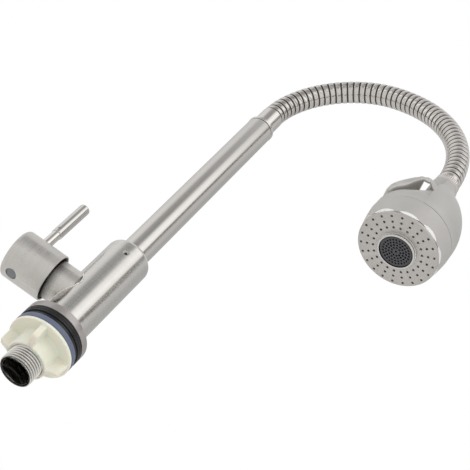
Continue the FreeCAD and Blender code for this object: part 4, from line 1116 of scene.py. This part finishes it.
def front_ring_surface(segments=720):
    """The side follows its arc, r(z). Each facet is a plane at u = r(foot) - d + 2 d (z - foot) / rise from
    the axis, so the radius is min(r(z), u / cos(offset)), the offset being the angle to its middle."""
    side = arc_from((head_r, -seam_depth - seam_side), (face_r, -face_depth), -ring_bend, steps=110)
    turn = full_turn(segments)
    offset = ((turn - facet_turn) * facet_count / (2 * np.pi) + 0.5) % 1 - 0.5
    reach = face_r - facet_deep + 2 * facet_deep * (side[:, 1:] + face_depth) / facet_rise
    radius = np.minimum(side[:, :1], reach / np.cos(offset * 2 * np.pi / facet_count))
    seam_top = -seam_depth - seam_half
    lip = revolve([(head_r - seam_in, seam_top), (head_r - seam_edge, seam_top)], segments)
    ledge = face_r - rim_wall
    inner_r = head_r - shell_wall
    collar_end = -seam_depth + collar_rise
    inner = [(ledge, -face_depth), (ledge, collar_end), (inner_r, collar_end), (inner_r, seam_top)]
    return np.concatenate([lip, round_z(radius, turn, side[:, 1:]), revolve(inner, segments)])


front_ring = skin("front_ring", [on_head(front_ring_surface())], smooth_under=math.radians(40))
facets_level = (gasket_top + head_z - face_depth + facets_from) * MM
# The facets below this level carry a painted highlight.
ring_satin = satin("ring_satin", shade(satin_tint, 1.08), 0.58, highlight_under=facets_level)
fit(front_ring, ring_satin, "spray_head", "satin_shell", "head_front_ring")


# Spray plate. A satin disc with a rounded edge that lies on the front ring, with three rings of fine jets
# on lines that start a little beside the lever's middle.
plate_thick = 2.2
plate_edge = 0.7
plate_back = -face_depth - 0.55
plate_r = face_r - 0.2
plate_foot_r = plate_r - 0.9
plate_bore_r = 11.2
plate_front = face_depth + plate_thick
plate_tint = (0.49, 0.465, 0.445, 1)
jet_r = 0.8
jet_count = 22
jet_turn = math.radians(-7)
jet_margins = (2.3, 6.1, 9.9)


def jet_holes():
    """One cylinder for each jet, n to a ring: its axis is at (R cos a, R sin a), a = start + 2 pi k / n."""
    one = peg(jet_r, 1 - face_depth, -plate_front - 1, 20)
    rings = [plate_r - margin for margin in jet_margins]
    turns = jet_turn + np.arange(jet_count) * 2 * np.pi / jet_count
    places = [(ring * math.cos(turn), ring * math.sin(turn), 0) for ring in rings for turn in turns]
    return [on_head(one + place) for place in places]


spray_plate = turned("spray_plate", on_head, (
    (plate_bore_r, -face_depth), (plate_foot_r, -face_depth), (plate_foot_r, plate_back),
    (plate_r, plate_back, 0.15), (plate_r, -plate_front, plate_edge), (plate_bore_r, -plate_front)),
    180, steps=8)
cut_out(spray_plate, *jet_holes())
plate_metal = satin("plate_satin", plate_tint, 0.42)
fit(spray_plate, plate_metal, "spray_head", "brushed_plate", "spray_plate")


# Aerator. A plated ring with a groove round its side stands proud at the plate's centre. It holds a dark
# insert whose fine holes lie in rings with thin raised circles between them; the holes are painted black
# as shade and the circles lighter, and a narrow gap, painted black as shade too, parts it from its ring.
aerator_r = 12.2
aerator_proud = 2.6
aerator_front = plate_front + aerator_proud
aerator_thread_r = 11.2
aerator_back = 9 - plate_front
bezel_r = 11.85
bezel_groove_r = 11.3
bezel_low = -plate_front - 1.7
bezel_foot = -plate_front - 0.9
bezel_slope = 0.2
insert_r = 10.65
insert_sunk = 0.5
insert_gap = 0.62
insert_deep = 1.1
hole_rings = ((2.8, 9), (4.6, 14), (6.4, 20), (8.2, 26))
hole_size = 0.5
ridge_rings = (1.0, 1.9, 3.7, 5.5, 7.3)
ridge_size = 0.16
ridge_high = 0.2
chrome_tint = (0.64, 0.63, 0.61, 1)
insert_tint = (0.030, 0.030, 0.036, 1)

bezel = turned("aerator_ring", on_head, (
    (insert_r, -aerator_front, 0.25), (bezel_r, -aerator_front, 0.6), (bezel_r, bezel_low, 0.1),
    (bezel_groove_r, bezel_low + bezel_slope, 0.05), (bezel_groove_r, bezel_foot - bezel_slope, 0.05),
    (aerator_r, bezel_foot, 0.2), (aerator_r, -plate_front, 0.15), (aerator_thread_r, -plate_front),
    (aerator_thread_r, aerator_back), (insert_r, aerator_back)), 160)
chrome = steel("aerator_chrome", chrome_tint, 0.08, 0.000002, stretch=(1200, 1200, 1200))
fit(bezel, chrome, "spray_head", "chrome_ring", "aerator_ring")


def insert_surface(segments=416, rows=100):
    """A disc whose face has thin ridges and rings of pits: at a ring of n holes the depth is
    exp(-((dr^2 + (r da)^2) / w^2)^2), da being the angle to the nearest hole."""
    turn = full_turn(segments)
    face_edge = insert_r - insert_gap
    radius = np.append(np.linspace(0, face_edge, rows), face_edge + 0.03)[:, None]
    depth = np.exp(-(radius / hole_size) ** 4) + 0 * turn
    for ring_r, count in hole_rings:
        offset = (turn * count / (2 * np.pi) + 0.5) % 1 - 0.5
        gap = radius * offset * 2 * np.pi / count
        depth = depth + np.exp(-(((radius - ring_r) ** 2 + gap ** 2) / hole_size ** 2) ** 2)
    for ring_r in ridge_rings:
        depth = depth - ridge_high * np.exp(-((radius - ring_r) / ridge_size) ** 2)
    depth[-1] = insert_deep
    level = -aerator_front + insert_sunk
    face = round_z(radius, turn, level + insert_deep * depth.clip(-ridge_high, 1))
    back_r = insert_r - 0.03
    back = [(back_r, level + insert_deep), (back_r, aerator_back - 0.1), (0, aerator_back - 0.1)]
    return np.concatenate([face, revolve(back, segments)])


insert = skin("aerator_insert", [on_head(insert_surface())], smooth_under=math.radians(50))
insert_level = (gasket_top + head_z - aerator_front + insert_sunk) * MM
# Above this level, in the pits and the gap round the insert, the colour is black painted shade.
insert_plastic = moulded("insert_plastic", insert_tint, 0.3, spread=0.1, hollow=insert_level, Coat_Weight=0.4)
fit(insert, insert_plastic, "spray_head", "dark_insert", "aerator_insert")


# Diverter lever. A thick arched arm for one finger, cast and satin-coated, on a yoke. At each side of the
# neck a shoulder and a leg reach down past the pivot pin. It is melted into one skin like the lock nut.
leg_foot_out = 0.6
leg_foot_depth = 24.6
leg_gap = 16.6
leg_thick = 1.8
leg_wide = 3
shoulder_out = 8
arm_thick = 3.4
arm_wide = 15.6
arm_bend = 33
arm_corner = 5
arm_blunt = 1.2
arm_flare = 0.6
arm_body = 0.7
crest_out = 11.6
crest_depth = 16.6
arm_reach = 27.2
arm_foot = 41.4
yoke_out = crest_out + arm_thick
yoke_under = crest_depth + arm_thick * 1.3
lever_cell = 0.2
lever_rounds = 9


def squarish(value, power):
    """The value raised to a power below one, with its sign kept."""
    return np.sign(value) * np.abs(value) ** power


def arm_surface(stations=60, segments=48, square=4.4):
    """Sections along the middle of two arcs, each |a|^n + |b|^n = 1 across the arm and through its thickness.
    At a share s of the way the inner arc is moved in by the thickness times k sin(pi s). From the yoke the
    half width falls to w by a cosine; near the tip it is w - c + sqrt(c^2 - (c - t)^2), t being the distance
    to the tip."""
    share = 1 - np.linspace(1, 0, stations) ** 2
    outer = arc_from((crest_out, -crest_depth), (arm_reach, -arm_foot), -arm_bend, steps=stations - 1)
    inner = arc_from((arm_reach - arm_thick, -arm_foot), (crest_out, -yoke_under), arm_bend - arm_thick,
                     steps=stations - 1)[::-1]
    steps = np.linspace(0, 1, stations)
    outer, inner = (np.stack([np.interp(share, steps, line[:, axis]) for axis in (0, 1)], -1)
                    for line in (outer, inner))
    inner = inner - (outer - inner) * arm_body * np.sin(np.pi * share)[:, None]
    middle, half = (outer + inner) / 2, (outer - inner) / 2
    to_tip = np.linalg.norm(middle - middle[-1], axis=1)
    round_in = np.clip(arm_corner - to_tip, 0, arm_corner)
    wide = arm_wide / 2 - arm_corner + np.sqrt(arm_corner ** 2 - round_in ** 2)
    flare = (1 + np.cos(np.pi * np.clip(share / arm_flare, 0, 1))) / 2
    wide = wide + (leg_gap / 2 + leg_thick - arm_wide / 2) * flare
    blunt = np.clip(1 - to_tip / arm_blunt, 0, 0.99)
    half = half * np.sqrt(1 - blunt ** 2)[:, None]
    turn = full_turn(segments)
    across = squarish(np.cos(turn), 2 / square)
    place = middle[:, None] + half[:, None] * squarish(np.sin(turn), 2 / square)[:, None]
    return np.stack([place[..., 0], wide[:, None] * across, place[..., 1]], -1)


def lever_parts():
    """The arm, the yoke, and a shoulder and a leg for each side."""
    yoke = plate(leg_gap + leg_thick * 2, 0.8, (crest_out, -crest_depth, 1.2),
                 (yoke_out, -crest_depth - 3, 1), (yoke_out, -yoke_under, 0.8), (crest_out, -yoke_under, 0.8))
    shoulder = plate(leg_thick, 0.5, (shoulder_out - 1, -crest_depth + 0.3, 1.4),
                     (crest_out - 0.8, -crest_depth + 0.1, 1.6), (yoke_out - 1, -yoke_under, 0.8),
                     (shoulder_out, -yoke_under + 0.6, 0.8))
    half = leg_wide / 2
    leg = plate(leg_thick, 0.5, (shoulder_out - 1.6, -crest_depth, 1.2),
                (shoulder_out + leg_wide - 1, -crest_depth - 0.6, 1),
                (leg_foot_out + half, -leg_foot_depth - half, 1.4),
                (leg_foot_out - half, -leg_foot_depth + half, 1.4))
    place = (leg_gap + leg_thick) / 2
    sides = [part + (0, side * place, 0) for part in (shoulder, leg) for side in (1, -1)]
    return [arm_surface(), yoke, *sides]


lever = skin("diverter_lever", [], capped=[on_head(part) for part in lever_parts()])
melted(lever, lever_cell, lever_rounds)
lever_satin = satin("lever_satin", shade(satin_tint, 1.16), 0.42)
fit(lever, lever_satin, "lever", "satin_shell", "diverter_lever")


# Pieces inside. They keep their own solids, apart from the swivel bush: the ceramic valve and its spindle in
# the branch, seals, screws and clips, the spout's spigot, and the head's core, spool and pivot.
bush_gap = 0.05
bush_low = bush_foot + bush_gap
bush_top = body_high - lip_thick - bush_gap
bush_side = bush_r - bush_gap


def dress(material, *names):
    """CAD nodes that keep their own shape take this material."""
    for name in names:
        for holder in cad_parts[name].material_slots:
            holder.material = material


brass = steel("raw_brass", (0.72, 0.52, 0.26, 1), 0.28, 0.000008, stretch=(1400, 1400, 1400))
inner_steel = steel("inner_steel", (0.6, 0.59, 0.58, 1), 0.25, 0.000006, stretch=(1600, 1600, 1600))
zinc = steel("cast_zinc", (0.42, 0.43, 0.45, 1), 0.45, 0.00003, stretch=(700, 700, 700))
ceramic = moulded("white_ceramic", (0.84, 0.83, 0.80, 1), 0.18, grain=2600.0, depth=0.000004, spread=0.02)
acetal = moulded("white_acetal", (0.80, 0.80, 0.78, 1), 0.36, spread=0.03)
dress(brass, "headwork_body", "spindle", "spout_spigot")
dress(inner_steel, "spindle_clip", "handle_grub_screw", "lever_grub_screw", "spout_screw", "diverter_pivot")
dress(zinc, "handle_hub")
dress(ceramic, "fixed_disc", "moving_disc")
dress(acetal, "head_core", "diverter_spool")
dress(rubber, "headwork_gasket", "seat_seal", "spindle_seal", "spigot_o_rings", "chamber_seal",
      "aerator_seal", "spool_o_rings")
bush = turned("swivel_bush_ring", upright, (
    (socket_r, bush_low), (bush_side, bush_low), (bush_side, bush_top, 0.3), (socket_r, bush_top)), 96)
fit(bush, acetal, "base", "white_acetal", "swivel_bush")
